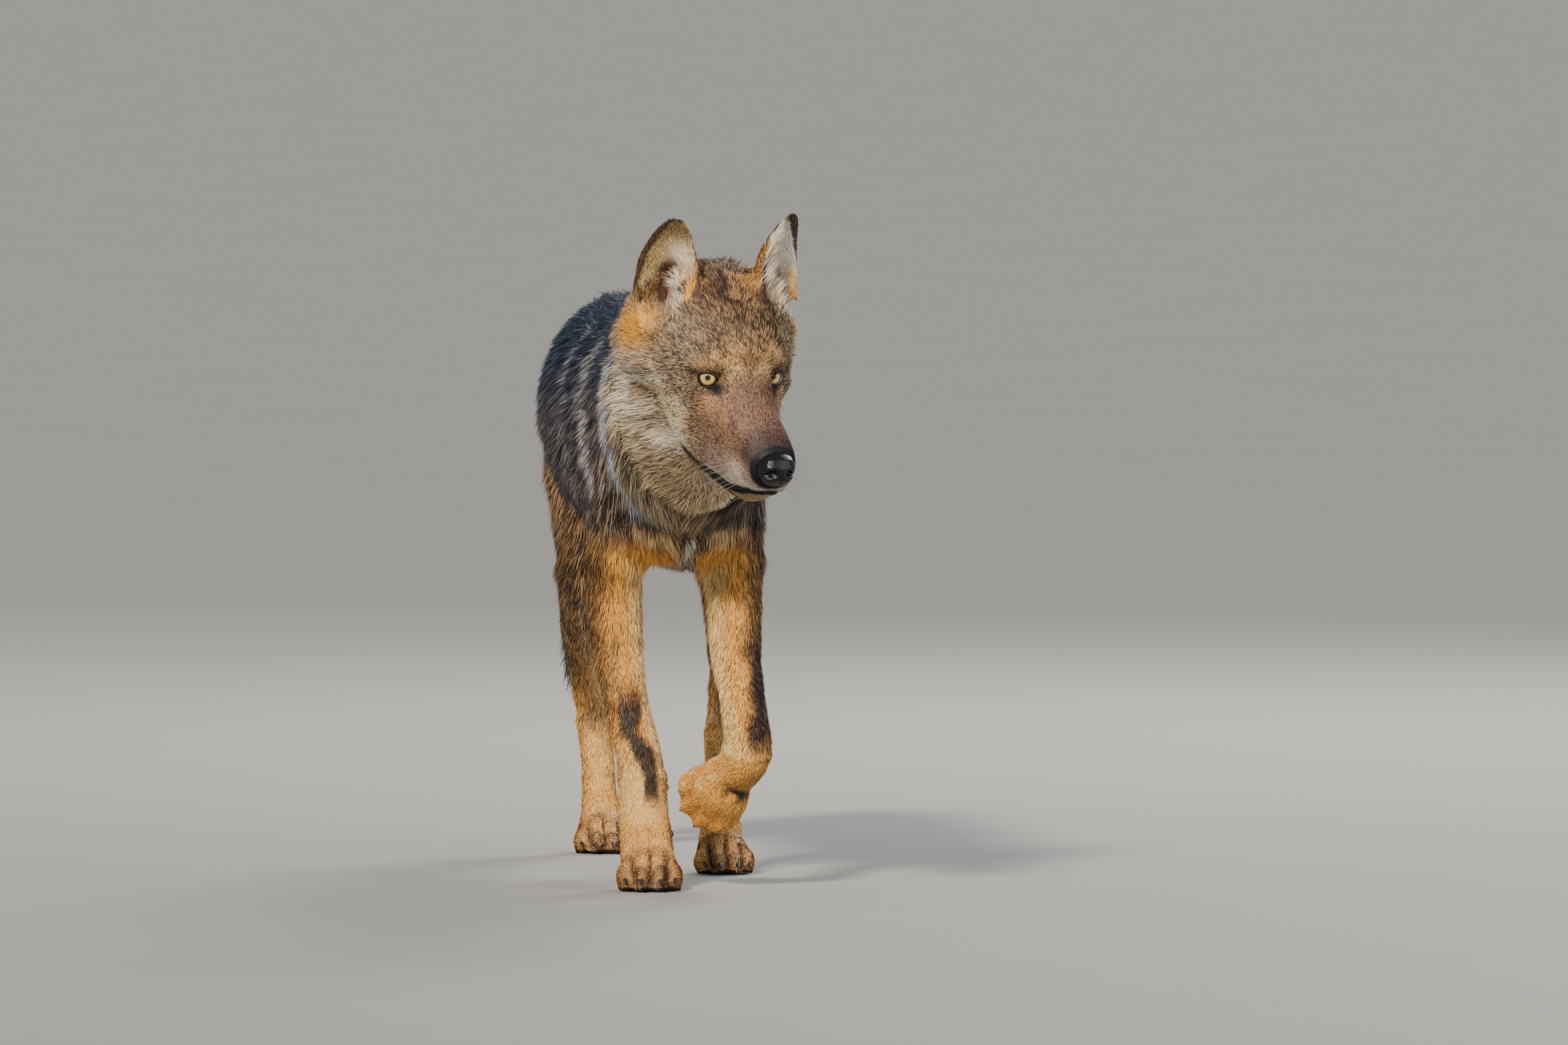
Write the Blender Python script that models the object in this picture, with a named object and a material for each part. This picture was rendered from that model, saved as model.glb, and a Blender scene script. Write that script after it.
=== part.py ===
"""A young grey wolf at an easy walk, as a still, life-size model.

The wolf faces -Y with +Z up, so its left side is +X. All sizes are in metres and include the
coat. Its left forefoot is lifted and folded at the wrist, the other three feet stand on the floor,
and the head is turned to its left and held low. The whole body is lofted in one piece, blended,
then parted into a head, neck, trunk, tail and three lengths of each leg by thin cuts. Ears, eyes,
nose leather and claws are pieces of their own.
"""

import math
from collections import namedtuple

import bmesh
import bpy
import numpy as np
from mathutils import Matrix, Vector

# Driving dimensions
BACK = 0.640  # height of the back, coat included
BRISKET = 0.345  # height of the underside of the chest
CHEST_HALF = 0.098  # half the width across the shoulders
FLANK_HALF = 0.112  # half the width across the ribs
HIP_Y = 0.56  # how far the hips lie behind the standing forefoot

EYES_AT = Vector((0.0345, -0.360, 0.5675))  # the point midway between the eyes
HEAD_TURN = math.radians(21)  # to the wolf's left
HEAD_DROP = math.radians(30)  # nose down
EYE_RADIUS = 0.0125
EYE_APART = 0.0375  # from the middle of the face to the centre of an eye
EYE_DEPTH = 0.0045

# How the surface is made
RING_POINTS = 28
RING_STEP = 0.010  # distance between two rings of a loft
VOXEL = 0.0036
FACES_FIRST = 8350
FACES_LAST = 4070
CUT = 0.0012  # width of a parting cut
GAP = 0.0004  # room between a piece and the seat that it lies in
MITRE = 0.13  # side of a cutter, wide enough for any leg

LEFT, RIGHT = 1, -1

Slice = namedtuple("Slice", "x y z half_width up down round_up round_down")
Joint = namedtuple("Joint", "x y z half_width front back")


def slice_(y, top, bottom, half_width, widest=None, x=0.0, round_up=2.0, round_down=2.0):
    """An upright section: heights of its top and bottom, and of its widest point."""
    level = (top + bottom) / 2 if widest is None else widest
    return Slice(x, y, level, half_width, top - level, level - bottom, round_up, round_down)


def limb(joints, roundness=2.1):
    """Sections of a leg, from the top down: its front and back are measured from the bone's line."""
    return [Slice(*joint, roundness, roundness) for joint in joints]


# The trunk, from the point of the chest to the buttocks
TRUNK = [
    slice_(-0.112, 0.500, 0.425, 0.036, x=0.000),
    slice_(-0.098, 0.545, 0.388, 0.066, 0.470),
    slice_(-0.060, 0.598, BRISKET + 0.012, 0.090, 0.480, round_down=1.9),
    slice_(0.000, BACK - 0.004, BRISKET - 0.002, CHEST_HALF - 0.006, 0.490, round_down=1.8),
    slice_(0.060, BACK + 0.006, BRISKET - 0.004, CHEST_HALF, 0.495, round_down=1.8),
    slice_(0.150, BACK + 0.001, BRISKET, CHEST_HALF + 0.006, 0.495, round_down=1.9),
    slice_(0.250, BACK - 0.006, BRISKET + 0.008, FLANK_HALF, 0.500, x=-0.003),
    slice_(0.350, BACK - 0.008, BRISKET + 0.026, FLANK_HALF + 0.003, 0.500, x=-0.008, round_down=2.3),
    slice_(0.440, BACK - 0.006, BRISKET + 0.056, FLANK_HALF, 0.505, x=-0.010, round_down=2.3),
    slice_(0.520, BACK - 0.004, BRISKET + 0.080, FLANK_HALF - 0.007, 0.505, x=-0.012, round_down=2.3),
    slice_(0.600, BACK - 0.012, BRISKET + 0.086, FLANK_HALF - 0.016, 0.500, x=-0.012),
    slice_(0.660, BACK - 0.034, BRISKET + 0.085, 0.076, 0.495, x=-0.009),
    slice_(0.700, BACK - 0.070, BRISKET + 0.098, 0.048, 0.495, x=-0.007),
    slice_(0.716, BACK - 0.105, BRISKET + 0.128, 0.022, 0.490, x=-0.006),
]

# The neck in its ruff, from the shoulders to the back of the head
NECK = [
    slice_(0.060, BACK - 0.010, 0.400, 0.084, 0.530),
    slice_(-0.010, BACK - 0.002, 0.392, 0.092, 0.530),
    slice_(-0.070, BACK + 0.003, 0.388, 0.095, 0.525),
    slice_(-0.130, BACK + 0.007, 0.397, 0.096, 0.530, x=-0.003),
    slice_(-0.185, BACK + 0.010, 0.424, 0.098, 0.545, x=-0.004),
    slice_(-0.235, BACK + 0.008, 0.465, 0.094, 0.560, x=0.000),
    slice_(-0.270, BACK - 0.010, 0.505, 0.074, 0.572, x=0.008),
]

# The head, in its own frame: the eyes are level with its origin and it faces -Y
SKULL = [
    slice_(-0.1200, -0.030, -0.064, 0.0175, -0.045, x=0.0020, round_up=2.2, round_down=2.3),
    slice_(-0.1120, -0.020, -0.075, 0.0265, -0.045, x=0.0020, round_up=2.3, round_down=2.6),
    slice_(-0.0950, -0.012, -0.087, 0.0305, -0.047, x=0.0015, round_up=2.4, round_down=3.0),
    slice_(-0.0700, -0.006, -0.097, 0.0335, -0.050, x=0.0010, round_up=2.4, round_down=3.3),
    slice_(-0.0450, 0.001, -0.102, 0.0385, -0.052, round_up=2.2, round_down=3.4),
    slice_(-0.0220, 0.010, -0.105, 0.0460, -0.050, round_up=1.9, round_down=3.0),
    slice_(0.0000, 0.024, -0.107, 0.0555, -0.0455, round_up=1.75, round_down=2.6),
    slice_(0.0250, 0.044, -0.108, 0.0675, -0.037, round_up=1.8, round_down=2.0),
    slice_(0.0500, 0.059, -0.108, 0.0825, -0.020, round_up=2.0, round_down=1.8),
    slice_(0.0800, 0.069, -0.105, 0.0955, -0.014, round_up=2.1, round_down=1.75),
    slice_(0.1100, 0.073, -0.101, 0.1000, -0.014, round_up=2.1, round_down=1.75),
    slice_(0.1400, 0.068, -0.092, 0.0940, -0.018, round_up=2.0, round_down=1.9),
    slice_(0.1650, 0.056, -0.072, 0.0780, -0.015, round_up=2.0, round_down=2.0),
    slice_(0.1800, 0.030, -0.040, 0.0500, -0.005, round_up=2.0, round_down=2.0),
]
JAW = [
    slice_(-0.1030, -0.072, -0.087, 0.0110, x=0.0010),
    slice_(-0.0960, -0.066, -0.094, 0.0190, x=0.0010),
    slice_(-0.0750, -0.062, -0.105, 0.0240),
    slice_(-0.0450, -0.060, -0.112, 0.0290),
    slice_(-0.0100, -0.058, -0.116, 0.0360),
    slice_(0.0300, -0.058, -0.117, 0.0420),
]

# Rows of a leg: x, y, z of the bone's line, half width, front and back depth
FORELEG_RIGHT = limb([
    Joint(-0.062, -0.020, 0.475, 0.036, 0.058, 0.062),
    Joint(-0.067, 0.002, 0.405, 0.036, 0.054, 0.056),
    Joint(-0.072, 0.022, 0.345, 0.0350, 0.042, 0.046),
    Joint(-0.068, 0.022, 0.265, 0.0310, 0.031, 0.033),
    Joint(-0.059, 0.014, 0.200, 0.0275, 0.026, 0.027),
    Joint(-0.0445, 0.006, 0.138, 0.0290, 0.026, 0.026),
    Joint(-0.0410, 0.008, 0.090, 0.0280, 0.022, 0.024),
    Joint(-0.0380, 0.006, 0.052, 0.0300, 0.026, 0.026),
    Joint(-0.0360, 0.000, 0.022, 0.0300, 0.027, 0.027),
])
FORELEG_LEFT = limb([
    Joint(0.058, -0.025, 0.475, 0.034, 0.058, 0.062),
    Joint(0.059, -0.010, 0.405, 0.035, 0.054, 0.056),
    Joint(0.0585, 0.004, 0.345, 0.0350, 0.042, 0.046),
    Joint(0.058, -0.016, 0.260, 0.0310, 0.031, 0.034),
    Joint(0.064, -0.038, 0.205, 0.0275, 0.027, 0.028),
    Joint(0.069, -0.055, 0.166, 0.0290, 0.027, 0.028),
    Joint(0.072, -0.061, 0.146, 0.0270, 0.024, 0.024),
])
HINDLEG_RIGHT = limb([
    Joint(-0.050, HIP_Y + 0.005, 0.540, 0.038, 0.075, 0.085),
    Joint(-0.061, HIP_Y + 0.020, 0.460, 0.045, 0.090, 0.096),
    Joint(-0.061, HIP_Y + 0.032, 0.385, 0.038, 0.080, 0.084),
    Joint(-0.060, HIP_Y + 0.048, 0.310, 0.030, 0.056, 0.060),
    Joint(-0.056, HIP_Y + 0.102, 0.240, 0.0245, 0.034, 0.036),
    Joint(-0.046, HIP_Y + 0.160, 0.188, 0.0205, 0.024, 0.025),
    Joint(-0.0370, HIP_Y + 0.194, 0.158, 0.0215, 0.022, 0.030),
    Joint(-0.0310, HIP_Y + 0.205, 0.108, 0.0205, 0.020, 0.021),
    Joint(-0.0280, HIP_Y + 0.208, 0.060, 0.0215, 0.020, 0.021),
    Joint(-0.0265, HIP_Y + 0.202, 0.026, 0.0260, 0.025, 0.024),
])
HINDLEG_LEFT = limb([
    Joint(0.052, HIP_Y - 0.005, 0.540, 0.040, 0.078, 0.090),
    Joint(0.066, HIP_Y - 0.030, 0.460, 0.044, 0.094, 0.104),
    Joint(0.080, HIP_Y - 0.072, 0.388, 0.040, 0.080, 0.090),
    Joint(0.088, HIP_Y - 0.122, 0.325, 0.034, 0.054, 0.060),
    Joint(0.086, HIP_Y - 0.142, 0.260, 0.027, 0.036, 0.038),
    Joint(0.083, HIP_Y - 0.142, 0.210, 0.0210, 0.025, 0.027),
    Joint(0.0805, HIP_Y - 0.146, 0.170, 0.0220, 0.022, 0.030),
    Joint(0.0765, HIP_Y - 0.176, 0.116, 0.0205, 0.020, 0.021),
    Joint(0.0730, HIP_Y - 0.206, 0.066, 0.0215, 0.020, 0.021),
    Joint(0.0710, HIP_Y - 0.226, 0.028, 0.0260, 0.025, 0.024),
])
TAIL = limb([
    Joint(-0.004, 0.650, 0.570, 0.034, 0.030, 0.030),
    Joint(-0.006, 0.708, 0.550, 0.036, 0.033, 0.033),
    Joint(-0.010, 0.748, 0.502, 0.040, 0.038, 0.038),
    Joint(-0.017, 0.780, 0.430, 0.045, 0.045, 0.045),
    Joint(-0.024, 0.803, 0.350, 0.046, 0.048, 0.048),
    Joint(-0.031, 0.819, 0.275, 0.038, 0.041, 0.041),
    Joint(-0.040, 0.828, 0.215, 0.023, 0.025, 0.025),
    Joint(-0.043, 0.831, 0.178, 0.006, 0.006, 0.006),
])

# The folded hand of the left foreleg: from the wrist to the knuckles, and how its width lies
WRIST = Vector((0.073, -0.060, 0.146))
HAND_ALONG = Vector((-0.50, 0.70, -0.50)).normalized()
HAND_OUTWARD = Vector((0.55, 0.02, -0.83)).normalized()
HAND_LENGTH = 0.074

# Toes of a foot: place across, forward of the foot's middle, radii, and the claw's length
Toe = namedtuple("Toe", "across forward wide long high")
TOES = [
    Toe(-0.0270, 0.024, 0.0105, 0.0250, 0.0155),
    Toe(-0.0108, 0.040, 0.0112, 0.0265, 0.0165),
    Toe(0.0108, 0.040, 0.0112, 0.0265, 0.0165),
    Toe(0.0270, 0.024, 0.0105, 0.0250, 0.0155),
]
CLAW_LENGTH = 0.017
CLAW_RADIUS = 0.0036

# Nose and ears, in the head's frame
NOSE_AT = Vector((0.0020, -0.1190, -0.0412))
EAR_BASE = Vector((0.058, 0.096, 0.048))
EAR_TIPS = {LEFT: Vector((0.086, 0.108, 0.1325)), RIGHT: Vector((-0.064, 0.106, 0.1305))}
EAR_FACES = math.radians(30)  # outward of straight ahead
EAR_HALF_WIDTH = 0.037
EAR_OUTER = (1.10, 0.86)  # the outer edge's share of that width, low and high on the ear
EAR_INNER = (1.00, 0.58)
EAR_THICKNESS = 0.0055


def clear_scene():
    for obj in list(bpy.data.objects):
        bpy.data.objects.remove(obj)


# ---------------------------------------------------------------- shared shapes


def smooth_rows(rows, step):
    """The key rows of a loft, carried through a smooth curve, about one row every `step`."""
    keys = np.array(rows, float)
    spans = np.linalg.norm(np.diff(keys[:, :3], axis=0), axis=1)
    reach = np.concatenate([[0.0], np.cumsum(spans)])
    slopes = np.gradient(keys, reach, axis=0)
    out = []
    for i, span in enumerate(spans):
        count = max(1, round(span / step))
        for t in np.arange(count) / count:
            start, end = 2 * t**3 - 3 * t**2 + 1, 3 * t**2 - 2 * t**3
            leave, arrive = (t**3 - 2 * t**2 + t) * span, (t**3 - t**2) * span
            out.append(
                start * keys[i] + end * keys[i + 1] + leave * slopes[i] + arrive * slopes[i + 1]
            )
    out.append(keys[-1])
    return [Slice(*row) for row in out]


def add_ring(bm, row, across, upward):
    """One closed superellipse ring, wider or flatter above its widest line than below."""
    centre = Vector((row.x, row.y, row.z))
    verts = []
    for i in range(RING_POINTS):
        turn = 2 * math.pi * i / RING_POINTS
        c, s = math.cos(turn), math.sin(turn)
        power = 2 / (row.round_up if s >= 0 else row.round_down)
        wide = row.half_width * math.copysign(abs(c) ** power, c)
        high = (row.up if s >= 0 else row.down) * math.copysign(abs(s) ** power, s)
        verts.append(bm.verts.new(centre + across * wide + upward * high))
    return verts


def add_loft(bm, rows, hint, across=None, frame=Matrix.Identity(4)):
    """A closed loft through the rows. `hint` is roughly where each section's top points."""
    rows = smooth_rows(rows, RING_STEP)
    points = [Vector((row.x, row.y, row.z)) for row in rows]
    rings = []
    for i, row in enumerate(rows):
        along = points[min(i + 1, len(points) - 1)] - points[max(i - 1, 0)]
        side = across if across else along.cross(hint).normalized()
        upward = side.cross(along).normalized()
        rings.append(add_ring(bm, row, side, upward))
    for ring in rings:
        bmesh.ops.transform(bm, matrix=frame, verts=ring)
    bm.faces.new(rings[0])
    bm.faces.new(rings[-1])
    for before, after in zip(rings, rings[1:]):
        for i, vert in enumerate(before):
            j = (i + 1) % RING_POINTS
            bm.faces.new((vert, before[j], after[j], after[i]))


def add_ball(bm, centre, radii, frame=Matrix.Identity(4), turn=Matrix.Identity(4)):
    """A rounded lump of muscle, bone or pad: an ellipsoid in the given frame."""
    place = Matrix.Translation(centre) @ turn @ Matrix.Diagonal((*radii, 1.0))
    bmesh.ops.create_uvsphere(
        bm, u_segments=24, v_segments=14, radius=1.0, matrix=frame @ place
    )


def new_object(name, bm):
    mesh = bpy.data.meshes.new(name)
    bmesh.ops.recalc_face_normals(bm, faces=bm.faces)
    bm.to_mesh(mesh)
    bm.free()
    obj = bpy.data.objects.new(name, mesh)
    bpy.context.scene.collection.objects.link(obj)
    return obj


def add_modifier(obj, kind, **settings):
    modifier = obj.modifiers.new(kind.title(), kind)
    for name, value in settings.items():
        setattr(modifier, name, value)
    return modifier


def bake(obj):
    """Applies the modifiers, so that the next step works on the shape they give."""
    graph = bpy.context.evaluated_depsgraph_get()
    baked = bpy.data.meshes.new_from_object(obj.evaluated_get(graph))
    obj.modifiers.clear()
    obj.data = baked


def points_of(obj):
    points = np.empty(len(obj.data.vertices) * 3)
    obj.data.vertices.foreach_get("co", points)
    return points.reshape(-1, 3)


# ---------------------------------------------------------------- the body


def head_frame():
    turn = Matrix.Rotation(HEAD_TURN, 4, "Z")
    drop = Matrix.Rotation(HEAD_DROP, 4, "X")
    return Matrix.Translation(EYES_AT) @ turn @ drop


def hand_frame():
    """The folded forefoot: -Y runs out to the toes, +X to its outer edge, +Z off its back."""
    across = (HAND_OUTWARD - HAND_ALONG * HAND_OUTWARD.dot(HAND_ALONG)).normalized()
    off_back = across.cross(-HAND_ALONG)
    knuckles = WRIST + HAND_ALONG * HAND_LENGTH
    axes = Matrix((across, -HAND_ALONG, off_back)).transposed().to_4x4()
    return Matrix.Translation(knuckles) @ axes


def foot_frame(x, y, toe_out):
    """A foot that stands on the floor, its toes turned out by that many degrees."""
    return Matrix.Translation((x, y, 0)) @ Matrix.Rotation(math.radians(toe_out), 4, "Z")


FEET = {
    "forefoot_right": foot_frame(-0.036, -0.010, -3),
    "forefoot_left": hand_frame() @ Matrix.Translation((0.005, 0.008, -0.017)) @ Matrix.Scale(1.06, 4),
    "hindfoot_right": foot_frame(-0.0265, HIP_Y + 0.190, -2),
    "hindfoot_left": foot_frame(0.071, HIP_Y - 0.240, 3),
}
FOLDED = "forefoot_left"
HIND_SCALE = 0.92


def toe_matrix(name, toe):
    """Where a toe's middle lies. The folded foot's toes curl under."""
    scale = HIND_SCALE if name.startswith("hind") else 1.0
    if name == FOLDED:
        curl = Matrix.Rotation(math.radians(6), 4, "X")
        place = Matrix.Translation((toe.across, 0, 0.016)) @ curl
        return FEET[name] @ place @ Matrix.Translation((0, -toe.forward, 0))
    place = Matrix.Translation((toe.across, -toe.forward, 0.0145))
    return FEET[name] @ Matrix.Scale(scale, 4) @ place


def add_foot(bm, name):
    frame = FEET[name]
    scale = Matrix.Scale(HIND_SCALE if name.startswith("hind") else 1.0, 4)
    frame = frame @ scale
    if name == FOLDED:
        add_ball(bm, (0, 0.000, 0.018), (0.0330, 0.030, 0.0205), frame)
        add_ball(bm, (0, -0.006, 0.004), (0.0230, 0.018, 0.0120), frame)
    else:
        add_ball(bm, (0, -0.004, 0.026), (0.0320, 0.036, 0.0270), frame)
        add_ball(bm, (0, 0.004, 0.0090), (0.0250, 0.024, 0.0125), frame)
    for toe in TOES:
        place = toe_matrix(name, toe)
        add_ball(bm, (0, 0, 0), (toe.wide, toe.long, toe.high), place)
        add_ball(bm, (0, -0.004, -0.0085), (toe.wide * 0.86, toe.long * 0.62, 0.0085), place)


def add_head(bm):
    frame = head_frame()
    add_loft(bm, SKULL, Vector((0, 0, 1)), frame=frame)
    add_loft(bm, JAW, Vector((0, 0, 1)), frame=frame)
    for side in (LEFT, RIGHT):
        brow = Vector((side * 0.029, 0.010, 0.015))
        add_ball(bm, brow, (0.0200, 0.0190, 0.0140), frame)
        cheekbone = Vector((side * 0.047, 0.026, -0.014))
        add_ball(bm, cheekbone, (0.0240, 0.0300, 0.0180), frame)
        whisker_pad = Vector((side * 0.0165, -0.097, -0.052))
        add_ball(bm, whisker_pad, (0.0145, 0.0200, 0.0200), frame)
        cheek_ruff = Vector((side * 0.072, 0.090, -0.013))
        add_ball(bm, cheek_ruff, (0.0330, 0.0480, 0.0390), frame)
        ear_root = Vector((side * 0.054, 0.104, 0.038))
        add_ball(bm, ear_root, (0.0300, 0.0330, 0.0290), frame)
    add_ball(bm, (0.002, -0.114, -0.0405), (0.0210, 0.0130, 0.0180), frame)


def add_muscles(bm):
    for side in (LEFT, RIGHT):
        shoulder = Vector((side * 0.066, -0.012, 0.495))
        add_ball(bm, shoulder, (0.031, 0.078, 0.115))
        upper_arm = Vector((side * 0.060, 0.035, 0.405))
        add_ball(bm, upper_arm, (0.034, 0.062, 0.062))
        haunch = Vector((side * 0.050 - 0.006, HIP_Y + 0.020, 0.520))
        add_ball(bm, haunch, (0.044, 0.105, 0.090))
    add_ball(bm, (0.0, -0.066, 0.425), (0.070, 0.036, 0.060))


def add_legs(bm):
    ahead = Vector((0, -1, 0))
    for rows in (FORELEG_RIGHT, FORELEG_LEFT, HINDLEG_RIGHT, HINDLEG_LEFT):
        add_loft(bm, rows, ahead)
    hand = []
    for reach, half_width, off_back, palm in (
        (-0.006, 0.0255, 0.023, 0.020),
        (0.022, 0.0265, 0.021, 0.019),
        (0.050, 0.0285, 0.021, 0.018),
        (HAND_LENGTH, 0.0300, 0.020, 0.017),
    ):
        at = WRIST + HAND_ALONG * reach
        hand.append(Slice(*at, half_width, off_back, palm, 2.2, 2.2))
    off_back = Vector(hand_frame().col[2][:3])
    add_loft(bm, hand, off_back)
    for name in FEET:
        add_foot(bm, name)


def stillness(points):
    """How much of the blending each point takes: little on the face and feet, all elsewhere."""
    local = points @ np.array(head_frame().inverted().to_3x3()).T
    local += np.array(head_frame().inverted().translation)
    face = np.clip((0.075 - local[:, 1]) / 0.06, 0, 1) * (np.linalg.norm(local, axis=1) < 0.17)
    reach = np.full(len(points), 1.0)
    for name, frame in FEET.items():
        reach = np.minimum(reach, np.linalg.norm(points - np.array(frame.translation), axis=1))
    feet = np.clip((0.105 - reach) / 0.04, 0, 1)
    return np.clip(1 - 0.86 * np.maximum(face, feet), 0, 1)


def set_group(obj, name, weights):
    group = obj.vertex_groups.get(name) or obj.vertex_groups.new(name=name)
    for index, weight in enumerate(weights):
        group.add([index], float(weight), "REPLACE")


def make_body():
    """The whole animal but its ears, as one blended surface."""
    bm = bmesh.new()
    add_loft(bm, TRUNK, Vector((0, 0, 1)))
    add_loft(bm, NECK, Vector((0, 0, 1)))
    add_loft(bm, TAIL, Vector((0, 1, 0)))
    add_muscles(bm)
    add_legs(bm)
    add_head(bm)
    body = new_object("body", bm)
    add_modifier(body, "REMESH", mode="VOXEL", voxel_size=VOXEL)
    bake(body)
    set_group(body, "blend", stillness(points_of(body)))
    add_modifier(body, "SMOOTH", factor=0.5, iterations=26, vertex_group="blend")
    bake(body)
    faces = len(body.data.polygons) * 2
    add_modifier(body, "DECIMATE", ratio=FACES_FIRST / faces)
    bake(body)
    free = (stillness(points_of(body)) > 0.8).astype(float)
    set_group(body, "free", free)
    add_modifier(
        body, "DECIMATE", ratio=FACES_LAST / len(body.data.polygons), vertex_group="free"
    )
    bake(body)
    return body


# ---------------------------------------------------------------- parting it


def make_cutter(name, matrix, size):
    bm = bmesh.new()
    bmesh.ops.create_cube(bm, size=1.0, matrix=matrix @ Matrix.Diagonal((*size, 1.0)))
    cutter = new_object(name, bm)
    cutter.hide_render = True
    cutter.display_type = "WIRE"
    return cutter


def facing(at, normal):
    """A frame at a point whose Z runs along the normal."""
    turn = Vector(normal).to_track_quat("Z", "Y").to_matrix().to_4x4()
    return Matrix.Translation(at) @ turn


# Where the body is parted: a point in each cut, its normal, and the cut's width
CUTS = {
    "hock_right": ((-0.036, HIP_Y + 0.197, 0.150), (0.0, 0.25, -0.97), 0.10),
    "hock_left": ((0.080, HIP_Y - 0.150, 0.158), (0.0, -0.40, -0.92), 0.10),
    "head_neck": ((-0.004, -0.238, 0.575), (0.22, -0.90, -0.25), 0.34),
    "neck_trunk": ((0.0, -0.070, 0.525), (0.0, -0.80, 0.36), 0.40),
    "trunk_tail": ((-0.012, 0.766, 0.466), (0.0, 0.39, -0.92), 0.12),
    "shoulder_right": ((-0.100, 0.010, 0.372), (-0.34, 0.0, -0.94), 0.17),
    "shoulder_left": ((0.094, 0.000, 0.372), (0.34, 0.0, -0.94), 0.17),
    "wrist_right": ((-0.0430, 0.006, 0.128), (0, 0, -1), MITRE),
    "wrist_left": ((0.071, -0.058, 0.1520), (-0.20, 0.32, -0.92), 0.096),
    "hip_right": ((-0.085, HIP_Y + 0.055, 0.335), (-0.20, 0.30, -0.93), 0.17),
    "hip_left": ((0.098, HIP_Y - 0.105, 0.345), (0.20, -0.20, -0.96), 0.17),
}

# A point well inside each length of the body
NAMED_POINTS = {
    "head": tuple(EYES_AT),
    "neck": (0.0, -0.150, 0.540),
    "trunk": (0.0, 0.300, 0.500),
    "tail": (-0.024, 0.803, 0.350),
    "foreleg_right": (-0.068, 0.020, 0.250),
    "foreleg_left": (0.060, -0.020, 0.250),
    "forefoot_right": (-0.038, 0.004, 0.060),
    "forefoot_left": (0.050, -0.020, 0.120),
    "hindleg_right": (-0.064, HIP_Y + 0.102, 0.240),
    "hindleg_left": (0.086, HIP_Y - 0.142, 0.260),
    "hindfoot_right": (-0.029, HIP_Y + 0.206, 0.080),
    "hindfoot_left": (0.074, HIP_Y - 0.200, 0.080),
}


def cut_away(obj, cutter):
    add_modifier(obj, "BOOLEAN", object=cutter, operation="DIFFERENCE", solver="EXACT")
    bake(obj)


def part_body(body):
    """Cuts the body through at each joint line and at the floor, and names the lengths."""
    floor = make_cutter("floor_cut", Matrix.Translation((0, 0.2, -0.1)), (1.0, 2.0, 0.2))
    cut_away(body, floor)
    for name, (at, normal, width) in CUTS.items():
        cutter = make_cutter("cut_" + name, facing(at, normal), (width, width, CUT))
        cut_away(body, cutter)
    bm = bmesh.new()
    bm.from_mesh(body.data)
    lengths = loose_parts(bm)
    bpy.data.objects.remove(body)
    objects = {}
    for name, inside in NAMED_POINTS.items():
        inside = Vector(inside)
        nearest = min(
            lengths, key=lambda part: min((vert.co - inside).length for vert in part)
        )
        lengths.remove(nearest)
        objects[name] = copy_of(bm, nearest, name)
    bm.free()
    return objects


def loose_parts(bm):
    """The sets of joined vertices of a mesh."""
    left, parts = set(bm.verts), []
    while left:
        seed = left.pop()
        part, edge_of = {seed}, [seed]
        while edge_of:
            vert = edge_of.pop()
            for edge in vert.link_edges:
                other = edge.other_vert(vert)
                if other in left:
                    left.discard(other)
                    part.add(other)
                    edge_of.append(other)
        parts.append(part)
    return parts


def copy_of(bm, part, name):
    """One of the loose parts of a mesh, as an object of its own."""
    piece = bm.copy()
    keep = {vert.index for vert in part}
    piece.verts.ensure_lookup_table()
    gone = [vert for vert in piece.verts if vert.index not in keep]
    bmesh.ops.delete(piece, geom=gone, context="VERTS")
    return new_object(name, piece)


# ---------------------------------------------------------------- ears, eyes, nose, claws


def ear_outline(v):
    """Half the ear's width at the share v of its height: full below the middle, a round tip."""
    if v < 0.35:
        return 0.86 + 0.14 * (v / 0.35)
    return max(0.20, (1 - ((v - 0.35) / 0.65) ** 2.5) ** 0.60)


def make_ear(side):
    """A scoop that narrows to a rounded tip and opens forward and outward."""
    rows, columns = 9, 8
    base = Vector((side * EAR_BASE.x, EAR_BASE.y, EAR_BASE.z))
    axis = EAR_TIPS[side] - base
    ahead = Vector((side * math.sin(EAR_FACES), -math.cos(EAR_FACES), 0.0))
    height = axis.length
    axis.normalize()
    ahead = (ahead - axis * ahead.dot(axis)).normalized()
    across = ahead.cross(axis)
    bm = bmesh.new()
    bmesh.ops.create_grid(bm, x_segments=columns, y_segments=rows, size=1.0)
    for vert in bm.verts:
        u, v = vert.co.x, (vert.co.y + 1) / 2
        half = EAR_HALF_WIDTH * ear_outline(v)
        low, high = EAR_OUTER if side * u < 0 else EAR_INNER
        half *= low + (high - low) * min(1.0, max(0.0, (v - 0.10) / 0.60))
        sweep = math.radians(88 - 52 * v)  # half the arc that the scoop's section spans
        radius = half / math.sin(sweep)
        wide, deep = radius * math.sin(u * sweep), radius * (1 - math.cos(u * sweep))
        lean = -0.010 * math.sin(math.pi * v)
        vert.co = base + axis * (height * v) + across * wide + ahead * (deep + lean - 0.012)
    bmesh.ops.transform(bm, matrix=head_frame(), verts=bm.verts)
    ear = new_object("ear_left" if side == LEFT else "ear_right", bm)
    add_modifier(ear, "SOLIDIFY", thickness=EAR_THICKNESS, offset=0.0, use_even_offset=False)
    bake(ear)
    return ear


def seat_on(piece, body, outward):
    """Trims away what lies inside the body, then draws the piece off it by the usual gap."""
    cut_away(piece, body)
    keep_largest(piece)
    piece.data.transform(Matrix.Translation(outward.normalized() * GAP))


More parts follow.
